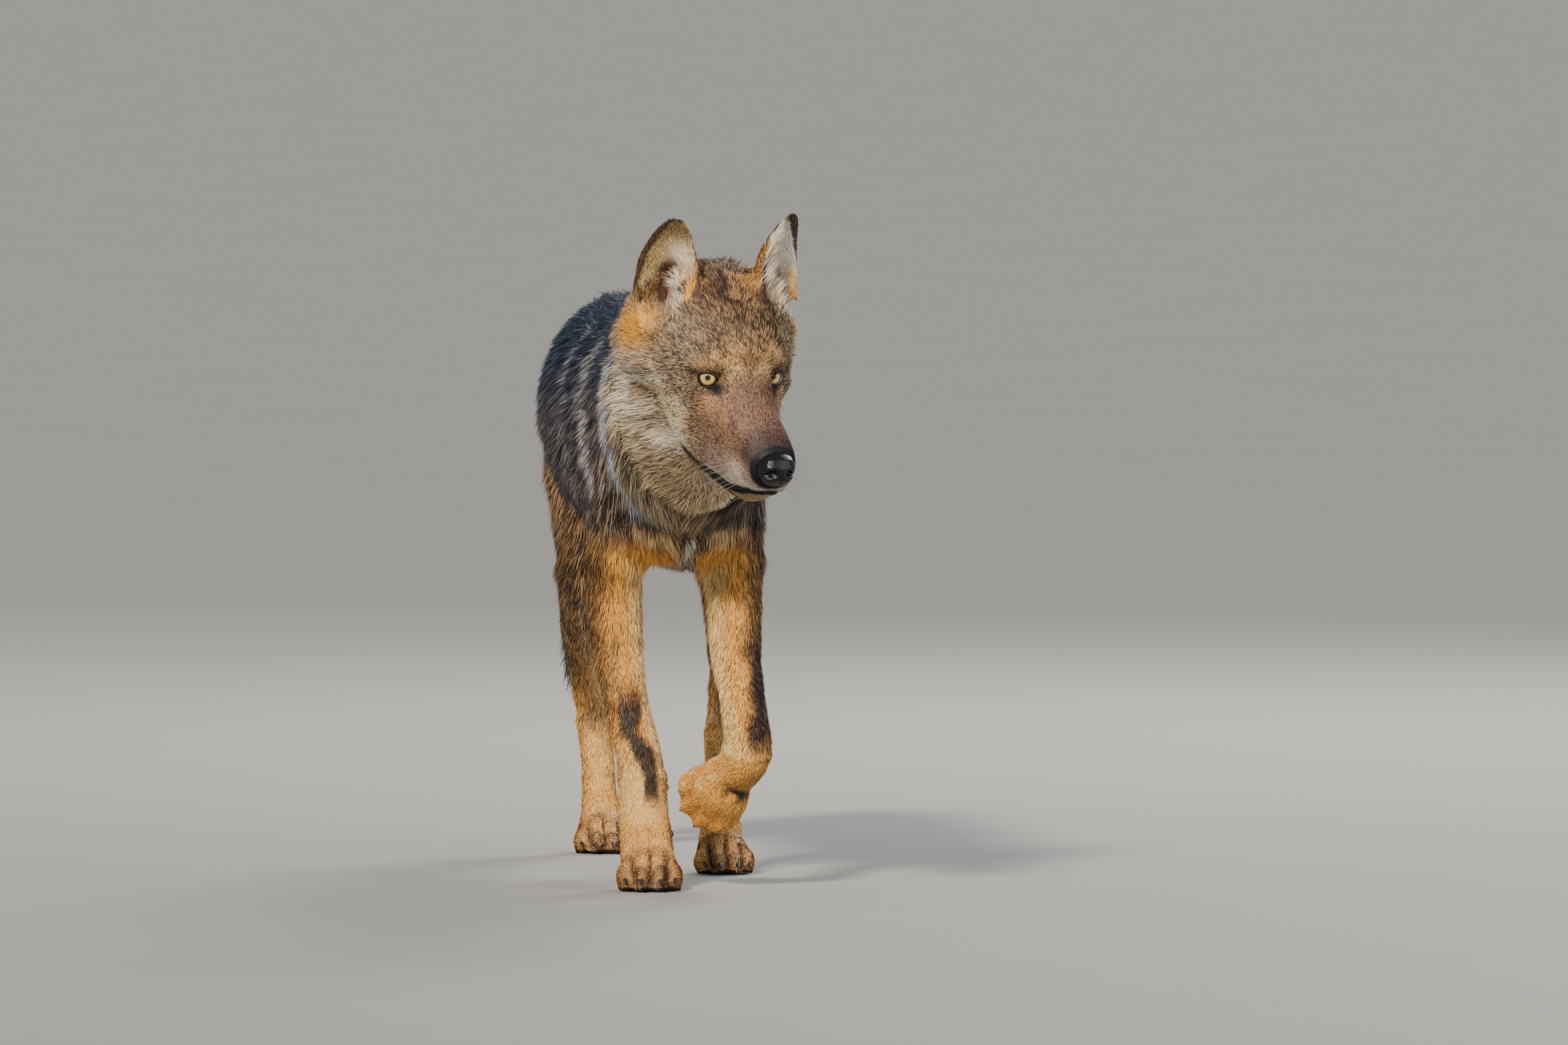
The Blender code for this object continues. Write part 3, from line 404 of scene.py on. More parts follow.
def paint_head(h, normals):
    """The face: ginger brow, rusty bridge that darkens to the nose, pale cheeks, dark lips."""
    side, back, up = np.abs(h[:, 0]), h[:, 1], h[:, 2]
    ahead = -back
    folded = np.c_[side, back, up]
    paint = Paint(len(h), "forehead")
    lay = paint.lay
    wisp = cloud(h, 0.012, 3)
    ragged = wisp - 0.5
    blotch = cloud(h, 0.030, 5)

    def spot(centre, radii):
        return bump_at(folded, centre, radii)

    lay("crown", ramp(0.046, 0.070, up + ragged * 0.010) * ramp(-0.10, -0.03, ahead) * 0.95)
    lay("temple", ramp(0.040, 0.066, side) * ramp(-0.05, 0.01, up) * ramp(0.03, -0.02, ahead))
    brow = spot((0.022, -0.002, 0.022), (0.024, 0.026, 0.016))
    lay("ginger", brow * ramp(0.25, 0.60, wisp) * 1.1)
    brow_end = spot((0.017, -0.012, 0.016), (0.010, 0.013, 0.010))
    lay("cheek_ochre", brow_end * ramp(0.2, 0.6, wisp) * 0.9)
    between_eyes = ramp(0.030, 0.012, side) * ramp(-0.03, 0.01, ahead) * ramp(0.05, 0.02, ahead)
    lay("ginger", between_eyes * 0.3)
    line = ramp(0.0075, 0.0030, side + ragged * 0.006) * ramp(0.030, 0.046, up)
    lay("crown_line", line * ramp(0.13, 0.09, back) * ramp(0.25, 0.6, wisp) * 0.7)
    patch = bump_at(h, (-0.010, 0.066, 0.058), (0.012, 0.024, 0.020))
    lay("crown_line", patch * ramp(0.2, 0.6, wisp) * 0.9)
    second = ramp(0.0060, 0.0020, np.abs(side - 0.026) + ragged * 0.006) * ramp(0.030, 0.050, up)
    lay("crown_line", second * ramp(0.3, 0.7, blotch) * 0.4)
    lay("bridge", ramp(0.008, 0.036, ahead + ragged * 0.02) * ramp(-0.060, -0.035, up))
    rust = spot((0.020, -0.044, -0.030), (0.012, 0.022, 0.018))
    lay("ginger", rust * ramp(0.2, 0.7, wisp))
    lay("muzzle_tip", ramp(0.072, 0.106, ahead) * ramp(-0.058, -0.036, up))
    lay("muzzle_side", ramp(0.020, 0.050, ahead) * ramp(-0.044, -0.060, up))
    lower_face = ramp(0.050, 0.020, ahead) * ramp(-0.010, -0.035, up)
    outer_face = lower_face * ramp(0.036, 0.052, side + ragged * 0.010)
    lay("cheek", outer_face * ramp(-0.012, 0.008, back))
    lay("eye_pale", spot((0.036, -0.018, -0.022), (0.012, 0.014, 0.012)) * 1.1)
    lay("eye_pale", spot((0.043, 0.006, 0.017), (0.014, 0.010, 0.005)) * 0.8)
    band = ramp(0.013, 0.005, np.abs(up + 0.020 + 0.55 * (back - 0.01) + ragged * 0.02))
    lay("forehead", band * ramp(0.010, 0.030, back) * ramp(0.12, 0.06, back) * 0.75)
    ochre = ramp(0.35, 0.75, blotch) * ramp(0.020, 0.055, back) * ramp(-0.010, -0.035, up)
    lay("cheek_ochre", ochre * 0.8)
    cream = ramp(0.40, 0.62, cloud(h * np.array([1, 0.6, 1]), 0.022, 6)) * ramp(0.045, 0.060, side)
    cream = cream * ramp(0.02, 0.05, back) * ramp(0.13, 0.10, back)
    lay("cheek_white", cream * ramp(0.01, -0.02, up) * 0.65)
    lay("cheek_ochre", spot((0.050, 0.030, -0.055), (0.020, 0.034, 0.020)) * 0.9)
    lay("cheek_white", spot((0.043, 0.020, -0.083), (0.016, 0.028, 0.020)) * 1.3)
    lay("cheek_white", ramp(0.60, 0.85, wisp) * lower_face * ramp(0.01, 0.05, back) * 0.6)
    to_lip = distance_to_lip(h)
    lay("lip_pale", ramp(0.018, 0.006, to_lip) * ramp(0.02, 0.05, ahead) * (up > -0.088) * 0.75)
    flew = spot((0.023, -0.093, -0.060), (0.012, 0.020, 0.013))
    lay("lip_pale", flew * ramp(0.15, 0.5, wisp) * 0.9)
    lay("chin", ramp(-0.076, -0.084, up) * ramp(0.070, 0.085, ahead))
    under = np.maximum(ramp(-0.082, -0.096, up), ramp(-0.35, -0.75, normals[:, 2]))
    under = under * ramp(0.080, 0.055, ahead)
    lay("throat", under * ramp(0.058, 0.038, side + 0.006 * ramp(0.3, 0.7, wisp)))
    lay("cheek_white", spot((0.034, 0.046, -0.106), (0.016, 0.024, 0.018)) * 1.2)
    reach = 0.0045 + 0.0040 * ramp(-0.095, -0.060, back)
    lay("lip_dark", ramp(reach + 0.003, reach - 0.001, to_lip + ragged * 0.003))
    # painted shadow under the jaw, just below the edge of the lips
    under_jaw_shadow = ramp(-0.094, -0.100, up) * ramp(-0.090, -0.070, back) * ramp(0.075, 0.030, back)
    lay("ruff_dark_and_shade", under_jaw_shadow * ramp(0.045, 0.030, side) * ramp(0.02, -0.02, back) * 0.9)
    lay("lip_dark", spot((0.054, 0.013, 0.006), (0.005, 0.012, 0.0030)) * 0.9)
    tear = spot((0.0338, -0.0120, -0.0052), (0.0066, 0.010, 0.0048)) * 1.5
    tear += spot((0.0295, -0.0165, -0.0120), (0.0024, 0.006, 0.0055))
    lay("lip_dark", tear * 1.5)
    pad = radii_from(h, (0.002, -0.1190, -0.0410), (0.0225, 0.0200, 0.0190))
    lay("lip_dark", ramp(1.30, 1.12, pad))
    hollow, out, _ = ear_bowl(h)
    lay("ear_orange", ramp(0.95, 0.55, hollow) * ramp(0.2, 1.0, out))
    lay("ear_orange", spot((0.083, 0.088, 0.008), (0.018, 0.026, 0.024)) * 1.4)
    lay("ear_canal", ramp(0.60, 0.35, hollow))
    return paint


def ear_bowl(h):
    """The hollow that runs down from each ear into the head: 0 at its middle and 1 at its rim,
    how far outward of its middle a point lies, and the way the hollow faces."""
    hand = np.where(h[:, 0] < 0, RIGHT, LEFT)
    faces = columns(hand * 0.62, -0.75, 0.22)
    away = h - columns(hand * 0.0715, 0.0900, 0.0460)
    out = (away[:, 0] * hand * 0.77 + away[:, 1] * 0.64) / 0.019
    tall = away[:, 2] / np.where(away[:, 2] > 0, 0.034, 0.027)
    through = np.sum(away * faces, axis=1)
    reach = np.sqrt(out ** 2 + tall ** 2) + 9 * (through < -0.030)
    return reach, out, faces


def paint_ear(h, normals, side):
    """Ginger behind with a dark rim, pale and hairy inside, bare and reddish low in the cup."""
    v = (h[:, 2] - 0.045) / 0.085
    paint = Paint(len(h), "ear_back")
    ragged = cloud(h, 0.010, 8) - 0.5
    paint.lay("ear_rim", ramp(0.45, 1.0, v + ragged * 0.2) * 0.85)
    inside = ramp(0.05, 0.45, normals @ np.array([side * 0.5, -0.866, 0.0]))
    base = np.array([side * (0.062 + 0.012 * (side == LEFT)), 0.096, 0.0])
    u = (h - base) @ np.array([0.866, side * 0.5, 0.0]) * side / 0.036
    inner = Paint(len(h), "ear_inside")
    if side == LEFT:
        inner.lay("ear_white", ramp(-0.60, -0.30, u + ragged * 0.3))
        inner.lay("ear_orange", ramp(-0.40, -0.62, u) * ramp(0.80, 0.50, v))
        low = ramp(0.34, 0.10, v + ragged * 0.2)
        inner.lay("ear_orange", ramp(0.25, 0.65, u + ragged * 0.3) * low * 0.9)
    else:
        inner.lay("ear_white", bump_at(np.c_[u, v], (-0.15, 0.45), (0.35, 0.25)) * 0.9)
        inner.lay("ear_orange", ramp(-0.35, -0.60, u) * ramp(0.70, 0.40, v))
        inner.lay("ear_rim", ramp(0.55, 0.95, v) * 0.55)
    inner.lay("ear_canal", bump_at(np.c_[u, v], (0.05, 0.06), (0.36, 0.30)) * 1.2)
    reach = ear_reach(v)
    edge = 0.08 if side == LEFT else 0.16
    inner.lay("ear_rim", ramp(reach - edge, reach - 0.03, np.abs(u) + ragged * 0.06) * 0.95)
    inner.lay("ear_rim", ramp(0.90, 0.98, v) * 0.8)
    paint.lay(inner, inside)
    return paint


def ear_reach(v):
    """Half the width of the ear at a height, as a share of its widest."""
    return np.sqrt(np.clip(1 - np.clip(v, 0, 1) ** 2.2, 0.0, 1.0)) * 0.95


def paint_neck(q, h):
    """The ruff: olive under the throat with a dark lower edge, a pale band behind the cheek tinted by
    painted sky.
    """
    paint = Paint(len(q), "ruff")
    lay = paint.lay
    streak = cloud(q * np.array([1, 1, 0.25]), 0.016, 12)
    ragged = streak - 0.5
    x, y, z = q.T
    off = np.abs(x)
    lay("nape", ramp(0.545, 0.600, z))
    lay("nape", ramp(0.070, 0.098, off) * ramp(0.470, 0.520, z) * 0.6)
    # pale band behind the cheek, partly pale fur and partly a painted blue sky reflection
    behind = ramp(0.032, 0.010, np.abs(h[:, 1] - 0.166 + ragged * 0.03))
    lay("ruff_pale_and_sky_blue", behind * ramp(0.620, 0.560, z) * ramp(0.400, 0.440, z) * 0.9)
    lay("shoulder", ramp(-0.130, -0.070, y) * ramp(0.06, 0.08, off))
    lay("throat", ramp(0.07, 0.03, off) * ramp(-0.10, -0.15, y) * 0.6)
    lay("ruff_dark_and_shade", ramp(0.425, 0.402, z + ragged * 0.03) * ramp(0.095, 0.065, off))
    lay("ruff_dark_and_shade", ramp(0.62, 0.85, streak) * 0.45)
    # darker down the left of the throat: partly dark fur, partly the head's shadow painted in
    lay("ruff_dark_and_shade", ramp(0.012, 0.040, x) * ramp(0.500, 0.455, z) * ramp(-0.02, -0.06, y) * 0.85)
    return paint


def paint_trunk(q):
    """A charcoal saddle with painted shade and a painted blue sky reflection, light bands behind the
    shoulder, tan belly and chest.
    """
    x, y, z = q.T
    paint = Paint(len(q), "flank")
    lay = paint.lay
    streak = cloud(q * np.array([1, 1, 0.22]), 0.022, 14)
    ragged = streak - 0.5
    patch = cloud(q, 0.060, 15)
    off, off_chest = np.abs(x), np.abs(x - 0.002)
    lay("shoulder", ramp(0.16, 0.08, y))
    # the dark back, its tone carrying painted shade and a painted blue reflection of the sky
    lay("saddle_shade_and_sky_blue", ramp(0.470, 0.580, z + (patch - 0.5) * 0.06))
    lay("saddle_shade_and_sky_blue", ramp(0.55, 0.80, streak) * 0.55)
    for at, wide, power in ((0.115, 0.044, 0.52), (0.235, 0.034, 0.32)):
        from_band = np.abs(y - at - (z - 0.5) * 0.35 + ragged * 0.06 + (patch - 0.5) * 0.05)
        band = ramp(wide, wide * 0.2, from_band) * ramp(0.25, 0.65, streak)
        lay("flank_band", band * ramp(0.350, 0.390, z) * ramp(0.610, 0.560, z) * power * 1.6)
    lay("belly", ramp(0.420, 0.365, z) * ramp(0.02, 0.10, y) * ramp(0.55, 0.45, y))
    lay("thigh", ramp(0.46, 0.54, y) * ramp(0.530, 0.450, z))
    lay("belly", ramp(0.64, 0.70, y) * ramp(0.46, 0.40, z) * ramp(0.06, 0.03, off) * 0.4)
    front = ramp(0.03, -0.03, y)
    lay("ruff_dark_and_shade", front * ramp(0.470, 0.430, z) * ramp(0.100, 0.070, off) * 0.6)
    swell = ((off_chest - 0.045) / 0.030) ** 2
    edge = z + 0.022 * swell + ragged * 0.030
    lay("chest", front * ramp(0.424, 0.398, edge) * ramp(0.100, 0.080, off))
    # painted shade down the cleft in the middle of the chest
    cleft = ramp(0.015, 0.007, off_chest) * ramp(0.348, 0.360, z)
    lay("ruff_dark_and_shade", front * cleft * 0.9)
    tuft = ramp(0.008, 0.003, off_chest) * ramp(0.406, 0.396, z) * ramp(0.362, 0.374, z)
    lay("chest_tuft", front * tuft)
    return paint


def paint_leg(name, q, normals):
    """Tan outside, cream inside, a dark stripe down each foreleg's front; hind legs add painted shade
    and light.
    """
    x, _, z = q.T
    side = side_of(name)
    paint = Paint(len(q), "leg")
    lay = paint.lay
    wisp = cloud(q * np.array([1, 1, 0.4]), 0.012, 21)
    ragged = wisp - 0.5
    inward = normals[:, 0] * -side
    across = (x - leg_middle(name, z)) * side
    if name.startswith("fore"):
        lay("leg_cream", ramp(0.25, 0.80, inward) * ramp(0.08, 0.14, z))
        lay("leg_cream", ramp(0.190, 0.110, z) * 0.65)
        lay("leg_brown", ramp(0.10, 0.80, -inward) * ramp(0.145, 0.22, z) * 0.85)
        lay("leg_brown", ramp(0.300, 0.370, z) * ramp(0.008, 0.028, across) * 0.85)
        outer = ramp(0.55, 0.85, wisp) * ramp(-0.006, 0.012, across)
        lay("leg_brown", outer * ramp(0.20, 0.25, z) * 0.6)
        if side == RIGHT:
            off_line = np.abs(across + 0.003 - (z - 0.17) * 0.10 + ragged * 0.016)
            stripe = ramp(0.0125, 0.0050, off_line)
            stripe = stripe * ramp(0.248, 0.195, z) * ramp(0.088, 0.112, z) * (normals[:, 1] < 0.2)
            stripe = stripe * ramp(0.18, 0.42, wisp + ramp(0.19, 0.13, z) * 0.3)
        else:
            stripe = ramp(-0.002, 0.009, across + ragged * 0.012) * (normals[:, 1] < 0.45)
            stripe = stripe * ramp(0.300, 0.235, z) * ramp(0.148, 0.185, z + ragged * 0.03)
            stripe = stripe * ramp(0.024, 0.016, across) * ramp(0.15, 0.40, wisp + 0.2)
            outer = ramp(0.002, 0.016, across) * ramp(0.42, 0.30, z)
            lay("leg_brown", outer * ramp(0.145, 0.175, z) * 0.85)
        lay("stripe", stripe * 0.95)
    else:
        lay("thigh", ramp(0.20, 0.28, z))
        # hind legs: the outer side is darkened as painted shade over brown fur, strongest on the
        # right leg, near-black on the upper thigh and in dark streaks at the hock; the inner side is
        # lightened as painted light over paler fur
        dark, brown = (0.75, 0.9) if side == RIGHT else (0.35, 0.3)
        lay("tail_tip_and_shade", ramp(0.1, 0.7, -inward) * ramp(0.255, 0.320, z) * dark)
        lay("leg_cream", ramp(0.15, 0.75, inward) * 0.5)
        lay("leg_grey", ramp(0.2, 0.8, -normals[:, 1]) * 0.55)
        hock = ramp(0.160, 0.225, z + ragged * 0.03)
        lay("leg_brown", ramp(-0.1, 0.6, -inward) * hock * brown)
        lay("stripe", ramp(0.3, 0.9, -inward) * ramp(0.18, 0.26, z) * ramp(0.2, 0.7, wisp) * 0.5)
    return paint


def paint_foot(local, scale):
    paint = Paint(len(local), "foot")
    lay = paint.lay
    _, ahead, z = local.T
    lay("leg", ramp(0.045, 0.070, z))
    lay("leg_cream", ramp(0.060, 0.085, z) * 0.4)
    lay("toe", ramp(-0.030, -0.052, ahead) * ramp(0.040, 0.020, z) * 0.8)
    # painted shade in the clefts between the toes
    lay("sole", toe_gaps(local, scale) * 0.8)
    lay("sole", ramp(0.0065, 0.0035, z))
    return paint


def paint_folded_foot(local):
    """The lifted forefoot, seen from above its knuckles."""
    paint = paint_foot(local, FOOT_SCALE["forefoot_left"])
    lay = paint.lay
    wisp = cloud(local, 0.010, 22)
    x, y, z = local.T
    # the leg tone laid thinner in the clefts keeps a faint painted shade between the toes
    lay("leg", 0.95 - 0.25 * toe_gaps(local, FOOT_SCALE["forefoot_left"]))
    lay("leg_cream", ramp(0.45, 0.75, wisp) * ramp(-0.004, -0.020, x) * 0.7)
    # painted shade in the crease across the top of the lifted paw, laid in the dark stripe tone
    paw_crease_shade = bump_at(local, (0.014, 0.026, 0.030), (0.016, 0.007, 0.020))
    lay("stripe", paw_crease_shade * ramp(0.3, 0.6, wisp) * 1.2)
    lay("leg_brown", ramp(0.030, 0.042, y) * ramp(-0.010, 0.010, x) * 0.5)
    lay("sole", ramp(0.010, 0.004, z) * ramp(0.01, -0.01, y) * 0.6)
    return paint


TOE_APART = 0.0189  # from the middle of a forefoot to the cleft beside a middle toe


def toe_gaps(local, scale):
    """1 in the three clefts between a foot's toes, fading to 0 on the toes."""
    off_middle = np.abs(local[:, 0]) / scale
    near = np.minimum(off_middle, np.abs(off_middle - TOE_APART))
    clefts = np.exp(-((near / 0.0030) ** 2))
    return clefts * ramp(-0.008, -0.026, local[:, 1]) * ramp(0.004, 0.010, local[:, 2])


def paint_tail(q):
    z = q[:, 2]
    paint = Paint(len(q), "tail")
    lay = paint.lay
    wisp = cloud(q * np.array([1, 1, 0.3]), 0.018, 31)
    lay("flank", ramp(0.36, 0.44, z + (wisp - 0.5) * 0.06) * 0.6)
    # the dark back's tone at the tail's root, with its painted shade and painted sky reflection
    lay("saddle_shade_and_sky_blue", ramp(0.50, 0.55, z))
    lay("tail_tip_and_shade", ramp(0.330, 0.200, z + (wisp - 0.5) * 0.10))
    return paint


LEG_LINES = {  # the middle of each leg across the body, at three heights
    "foreleg_right": ((0.12, -0.0440), (0.20, -0.0590), (0.40, -0.0700)),
    "foreleg_left": ((0.12, 0.0720), (0.20, 0.0640), (0.40, 0.0590)),
    "hindleg_right": ((0.15, -0.0370), (0.24, -0.0560), (0.40, -0.0610)),
    "hindleg_left": ((0.15, 0.0800), (0.26, 0.0860), (0.40, 0.0780)),
}


def leg_middle(name, z):
    heights, places = zip(*LEG_LINES[name])
    return np.interp(z, heights, places)


# Frames of the feet: a foot's toes run along -Y of its frame, and its sole lies at height 0
def hand_frame():
    """The lifted forefoot's: its toes hang down and back, and in toward the other leg."""
    along = Vector((-0.50, 0.70, -0.50)).normalized()
    outward = Vector((0.55, 0.02, -0.83)).normalized()
    across = (outward - along * outward.dot(along)).normalized()
    off_back = across.cross(-along)
    axes = Matrix((across, -along, off_back)).transposed().to_4x4()
    knuckles = Vector((0.073, -0.060, 0.146)) + along * 0.074
    lift = Matrix.Translation((0.005, 0.008, -0.017))
    return Matrix.Translation(knuckles) @ axes @ lift @ Matrix.Scale(1.06, 4)


def standing_foot(x, y, toe_out):
    return Matrix.Translation((x, y, 0)) @ Matrix.Rotation(math.radians(toe_out), 4, "Z")


FEET = {
    "forefoot_right": standing_foot(-0.036, -0.010, -3),
    "forefoot_left": hand_frame(),
    "hindfoot_right": standing_foot(-0.0265, 0.750, -2),
    "hindfoot_left": standing_foot(0.071, 0.320, 3),
}
FOOT_SCALE = {name: 0.92 if name.startswith("hind") else 1.0 for name in FEET}


def in_foot(name, q):
    return into(FEET[name], q)


def paint_part(name, q, h, normals):
    """The tones of one part, washed over at its seams with those of its neighbours."""
    head_normals = world_to_head(normals)
    if name == "head":
        paint = paint_head(h, head_normals)
        paint.lay(paint_neck(q, h), ramp(0.140, 0.170, h[:, 1]))
    elif name.startswith("ear"):
        paint = paint_ear(h, head_normals, side_of(name))
    elif name == "neck":
        paint = paint_neck(q, h)
        near = ramp(0.165, 0.130, h[:, 1]) * (np.abs(h[:, 2]) < 0.13)
        paint.lay(paint_head(h, head_normals), near)
    elif name == "trunk":
        paint = paint_trunk(q)
        near = ramp(-0.050, -0.085, q[:, 1]) * ramp(0.42, 0.44, q[:, 2])
        paint.lay(paint_neck(q, h), near)
        for leg in LEG_LINES:
            paint.lay(paint_leg(leg, q, normals), leg_mask(leg, q))
    elif name == "tail":
        paint = paint_tail(q)
    elif name in LEG_LINES:
        paint = paint_leg(name, q, normals)
    elif name == "forefoot_left":
        paint = paint_folded_foot(in_foot(name, q))
    else:
        paint = paint_foot(in_foot(name, q), FOOT_SCALE[name])
        if name == "forefoot_right":
            stripe = paint_leg("foreleg_right", q, normals)
            paint.lay(stripe, ramp(0.075, 0.100, q[:, 2]))
    return paint


def paint_all(points, normals, labels):
    """The tones at every point."""
    paint = Paint(len(points), "flank")
    for number, name in enumerate(FLESH):
        here = labels == number
        if here.any():
            at = points[here]
            paint.rows[here] = paint_part(name, in_body(at), in_head(at), normals[here]).rows
    return paint


def leg_mask(leg, q):
    """How far a point of the trunk belongs to a leg's upper end."""
    x, y, z = q.T
    side = side_of(leg)
    if leg.startswith("fore"):
        return ramp(0.425, 0.385, z) * ramp(0.085, 0.060, np.abs(y - 0.01)) * (x * side > 0.018)
    middle = 0.59 if side == RIGHT else 0.47
    return ramp(0.400, 0.360, z) * ramp(0.13, 0.09, np.abs(y - middle)) * (x * side > 0.01)


# ------------------------------------------------------------ the skin

# Length of the hair, depth of the coat, width of a hair, layers of cover, lift in degrees
COATS = {
    "head": (0.0120, 0.0035, 0.00060, 6.6, 25),
    "neck": (0.0380, 0.0150, 0.00105, 11.0, 27),
    "trunk": (0.0360, 0.0140, 0.00125, 8.0, 25),
    "tail": (0.0460, 0.0190, 0.00130, 8.0, 22),
    "foreleg": (0.0120, 0.0042, 0.00085, 5.0, 20),
    "hindleg": (0.0160, 0.0060, 0.00100, 5.0, 22),
    "forefoot": (0.0065, 0.0024, 0.00075, 5.5, 18),
    "hindfoot": (0.0072, 0.0026, 0.00080, 5.0, 18),
    "ear": (0.0058, 0.0008, 0.00062, 4.4, 13),
}


def label_of(points):
    """Which node's surface each point lies nearest to."""
    sizes = [len(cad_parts[name].data.vertices) for name in FLESH]
    tree = KDTree(sum(sizes))
    owner = []
    for number, name in enumerate(FLESH):
        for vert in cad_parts[name].data.vertices:
            tree.insert(vert.co, len(owner))
            owner.append(number)
    tree.balance()
    owner = np.array(owner)
    return owner[[tree.find(point)[1] for point in points]]


EYE_RADIUS = 0.0125
EYE_WIDE, EYE_HIGH, EYE_LOW = math.radians(54), math.radians(36), math.radians(36)
GAZE = (-0.12, -0.99, 0.05)  # to whoever stands ahead of the wolf


def eye_frame(side):
    """The eye's own frame: x out to the temple, y forward out of the eye, z up."""
    centre = box_centre("eye_left" if side == LEFT else "eye_right")
    turn = HEAD.to_3x3()
    ahead = (turn @ Vector((side * 0.40, -0.91, 0.10))).normalized()
    across = (turn @ Vector((side, 0, 0.30))).normalized()
    across = (across - ahead * across.dot(ahead)).normalized()
    upward = across.cross(ahead) if side == RIGHT else ahead.cross(across)
    if upward.dot(turn @ Vector((0, 0, 1))) < 0:
        upward = -upward
    axes = Matrix((across, ahead, upward)).transposed().to_4x4()
    return Matrix.Translation(centre) @ axes


def almond(turn):
    """The edge of the open eye: angles across and up from the eye's axis."""
    across = EYE_WIDE * math.cos(turn)
    rise = max(0.0, 1 - abs(math.cos(turn)) ** 1.9) ** 0.80
    upper = math.sin(turn) >= 0
    skew = 0.16 * math.cos(turn) * rise
    high = (EYE_HIGH * (rise - skew)) if upper else -(EYE_LOW * (rise + skew))
    return across, high


def openness(points, side):
    """How far out of the open eye each point lies: under 1 is within the opening."""
    local = into(eye_frame(side), points)
    away = np.linalg.norm(local, axis=1)
    across = np.arctan2(local[:, 0], np.maximum(local[:, 1], 1e-6))
    high = np.arcsin(np.clip(local[:, 2] / np.maximum(away, 1e-9), -1, 1))
    limit = np.where(high >= 0, EYE_HIGH, EYE_LOW)
    scale = np.sqrt((across / EYE_WIDE) ** 2 + (high / limit) ** 2)
    scale[local[:, 1] <= 0] = 9.0
    return scale, away, local


# Small sculpting of the left half of the face, mirrored for the right: centre, radii, and how far
# the skin is moved
FACE_PUSHES = (
    ((0.0, -0.004, 0.010), (0.012, 0.026, 0.014), (0, 0.0010, -0.0022)),
    ((0.024, -0.020, -0.012), (0.010, 0.016, 0.014), (-0.0035, 0.002, 0)),
    ((0.048, -0.002, -0.020), (0.014, 0.020, 0.010), (0.0025, 0, 0)),
    ((0.031, -0.045, -0.050), (0.008, 0.024, 0.016), (-0.0020, 0, 0)),
    ((0.0, -0.120, -0.052), (0.006, 0.008, 0.010), (0, 0.0020, 0)),
    ((0.038, 0.004, 0.017), (0.014, 0.008, 0.006), (0.0, 0.0006, 0.0012)),
)


def shape_face(points, normals):
    """Sculpts the blended head: stop, cheeks, a seat for the nose, lips, hollows of the ears."""
    h = in_head(points)
    side = np.sign(h[:, 0])
    moved = np.zeros_like(h)
    for centre, radii, offset in FACE_PUSHES:
        for hand in (LEFT, RIGHT):
            mirror = np.array((hand, 1, 1))
            moved += bump_at(h, centre * mirror, radii)[:, None] * (offset * mirror)
    under_pad = radii_from(h, (0.002, -0.1210, -0.0410), (0.021, 0.020, 0.017))
    moved[:, 1] += ramp(1.0, 0.7, under_pad) * 0.0150
    groove = np.exp(-((distance_to_lip(h) / 0.0022) ** 2)) * 0.0030
    moved[:, 0] -= side * groove * 0.8
    moved[:, 1] += groove * ramp(0.08, 0.11, -h[:, 1])
    flew = bump_at(h * columns(side, 1, 1), (0.027, -0.075, -0.074), (0.010, 0.030, 0.008))
    moved[:, 0] += side * flew * 0.0022
    reach, _, faces = ear_bowl(h)
    fronting = ramp(-0.15, 0.25, np.sum(world_to_head(normals) * faces, axis=1))
    deep = ramp(1.0, 0.25, reach) * 0.0190 * fronting
    lip = np.exp(-(((reach - 1.12) / 0.16) ** 2)) * 0.0030 * fronting * (h[:, 2] < 0.060)
    moved += faces * (lip - deep)[:, None]
    points = points + head_to_world(moved)
    for hand in (LEFT, RIGHT):
        points = with_socket(points, hand)
    return points


def with_socket(points, side):
    """The skin round an eye drawn in: its rim close over the eyeball, its opening behind it."""
    scale, away, local = openness(points, side)
    near_eye = (away < 0.028) & (local[:, 1] > 0)
    wanted = np.maximum(away, EYE_RADIUS + 0.0009)
    inside = ramp(1.26 + 0.30 * ramp(0.0, -0.010, local[:, 0]), 1.10, scale)
    wanted = wanted * (1 - inside) + (EYE_RADIUS - 0.0030) * inside
    fade = ramp(0.028, 0.023, away) * near_eye
    local_scale = 1 + fade * (wanted / np.maximum(away, 1e-6) - 1)
    centre = np.array(eye_frame(side).translation)
    return centre + (points - centre) * local_scale[:, None]


def shape_feet(points, normals, labels):
    """Clefts between the toes, and a low swell along each toe."""
    for name in FEET:
        here = in_parts(labels, name)
        local = in_foot(name, in_body(points[here]))
        scale = FOOT_SCALE[name]
        folded = name == "forefoot_left"
        clefts = toe_gaps(local, scale) * (0.0006 if folded else 0.0032 * scale)
        turn = local[:, 0] / scale / TOE_APART * 2 * math.pi
        swell = np.cos(turn) * ramp(-0.010, -0.030, local[:, 1])
        knuckle = bump_at(local[:, 1:], (-0.030 * scale, 0.030), (0.012, 0.012)) * 0.0012
        raised = -swell * 0.0005 * scale + knuckle - clefts
        if folded:
            raised -= bump_at(local, (0.012, 0.027, 0.030), (0.018, 0.006, 0.012)) * 0.0030
            raised += bump_at(local, (0.0, 0.008, 0.034), (0.016, 0.012, 0.012)) * 0.0014
        points[here] += normals[here] * raised[:, None]
    return points


class Skin:
    """The skin's mesh, with what the coat reads from it at each vertex."""

    obj = None
    points = normals = labels = flow = None
    length = lift = width = cover = None


SKIN = Skin()


def remeshed(mesh, voxel):
    """The mesh made again as one closed surface on a grid."""
    obj = bpy.data.objects.new("flesh", mesh)
    bpy.context.scene.collection.objects.link(obj)
    modifier = obj.modifiers.new("Remesh", "REMESH")
    modifier.mode = "VOXEL"
    modifier.voxel_size = voxel
    graph = bpy.context.evaluated_depsgraph_get()
    result = bpy.data.meshes.new_from_object(obj.evaluated_get(graph))
    bpy.data.objects.remove(obj)
    return result


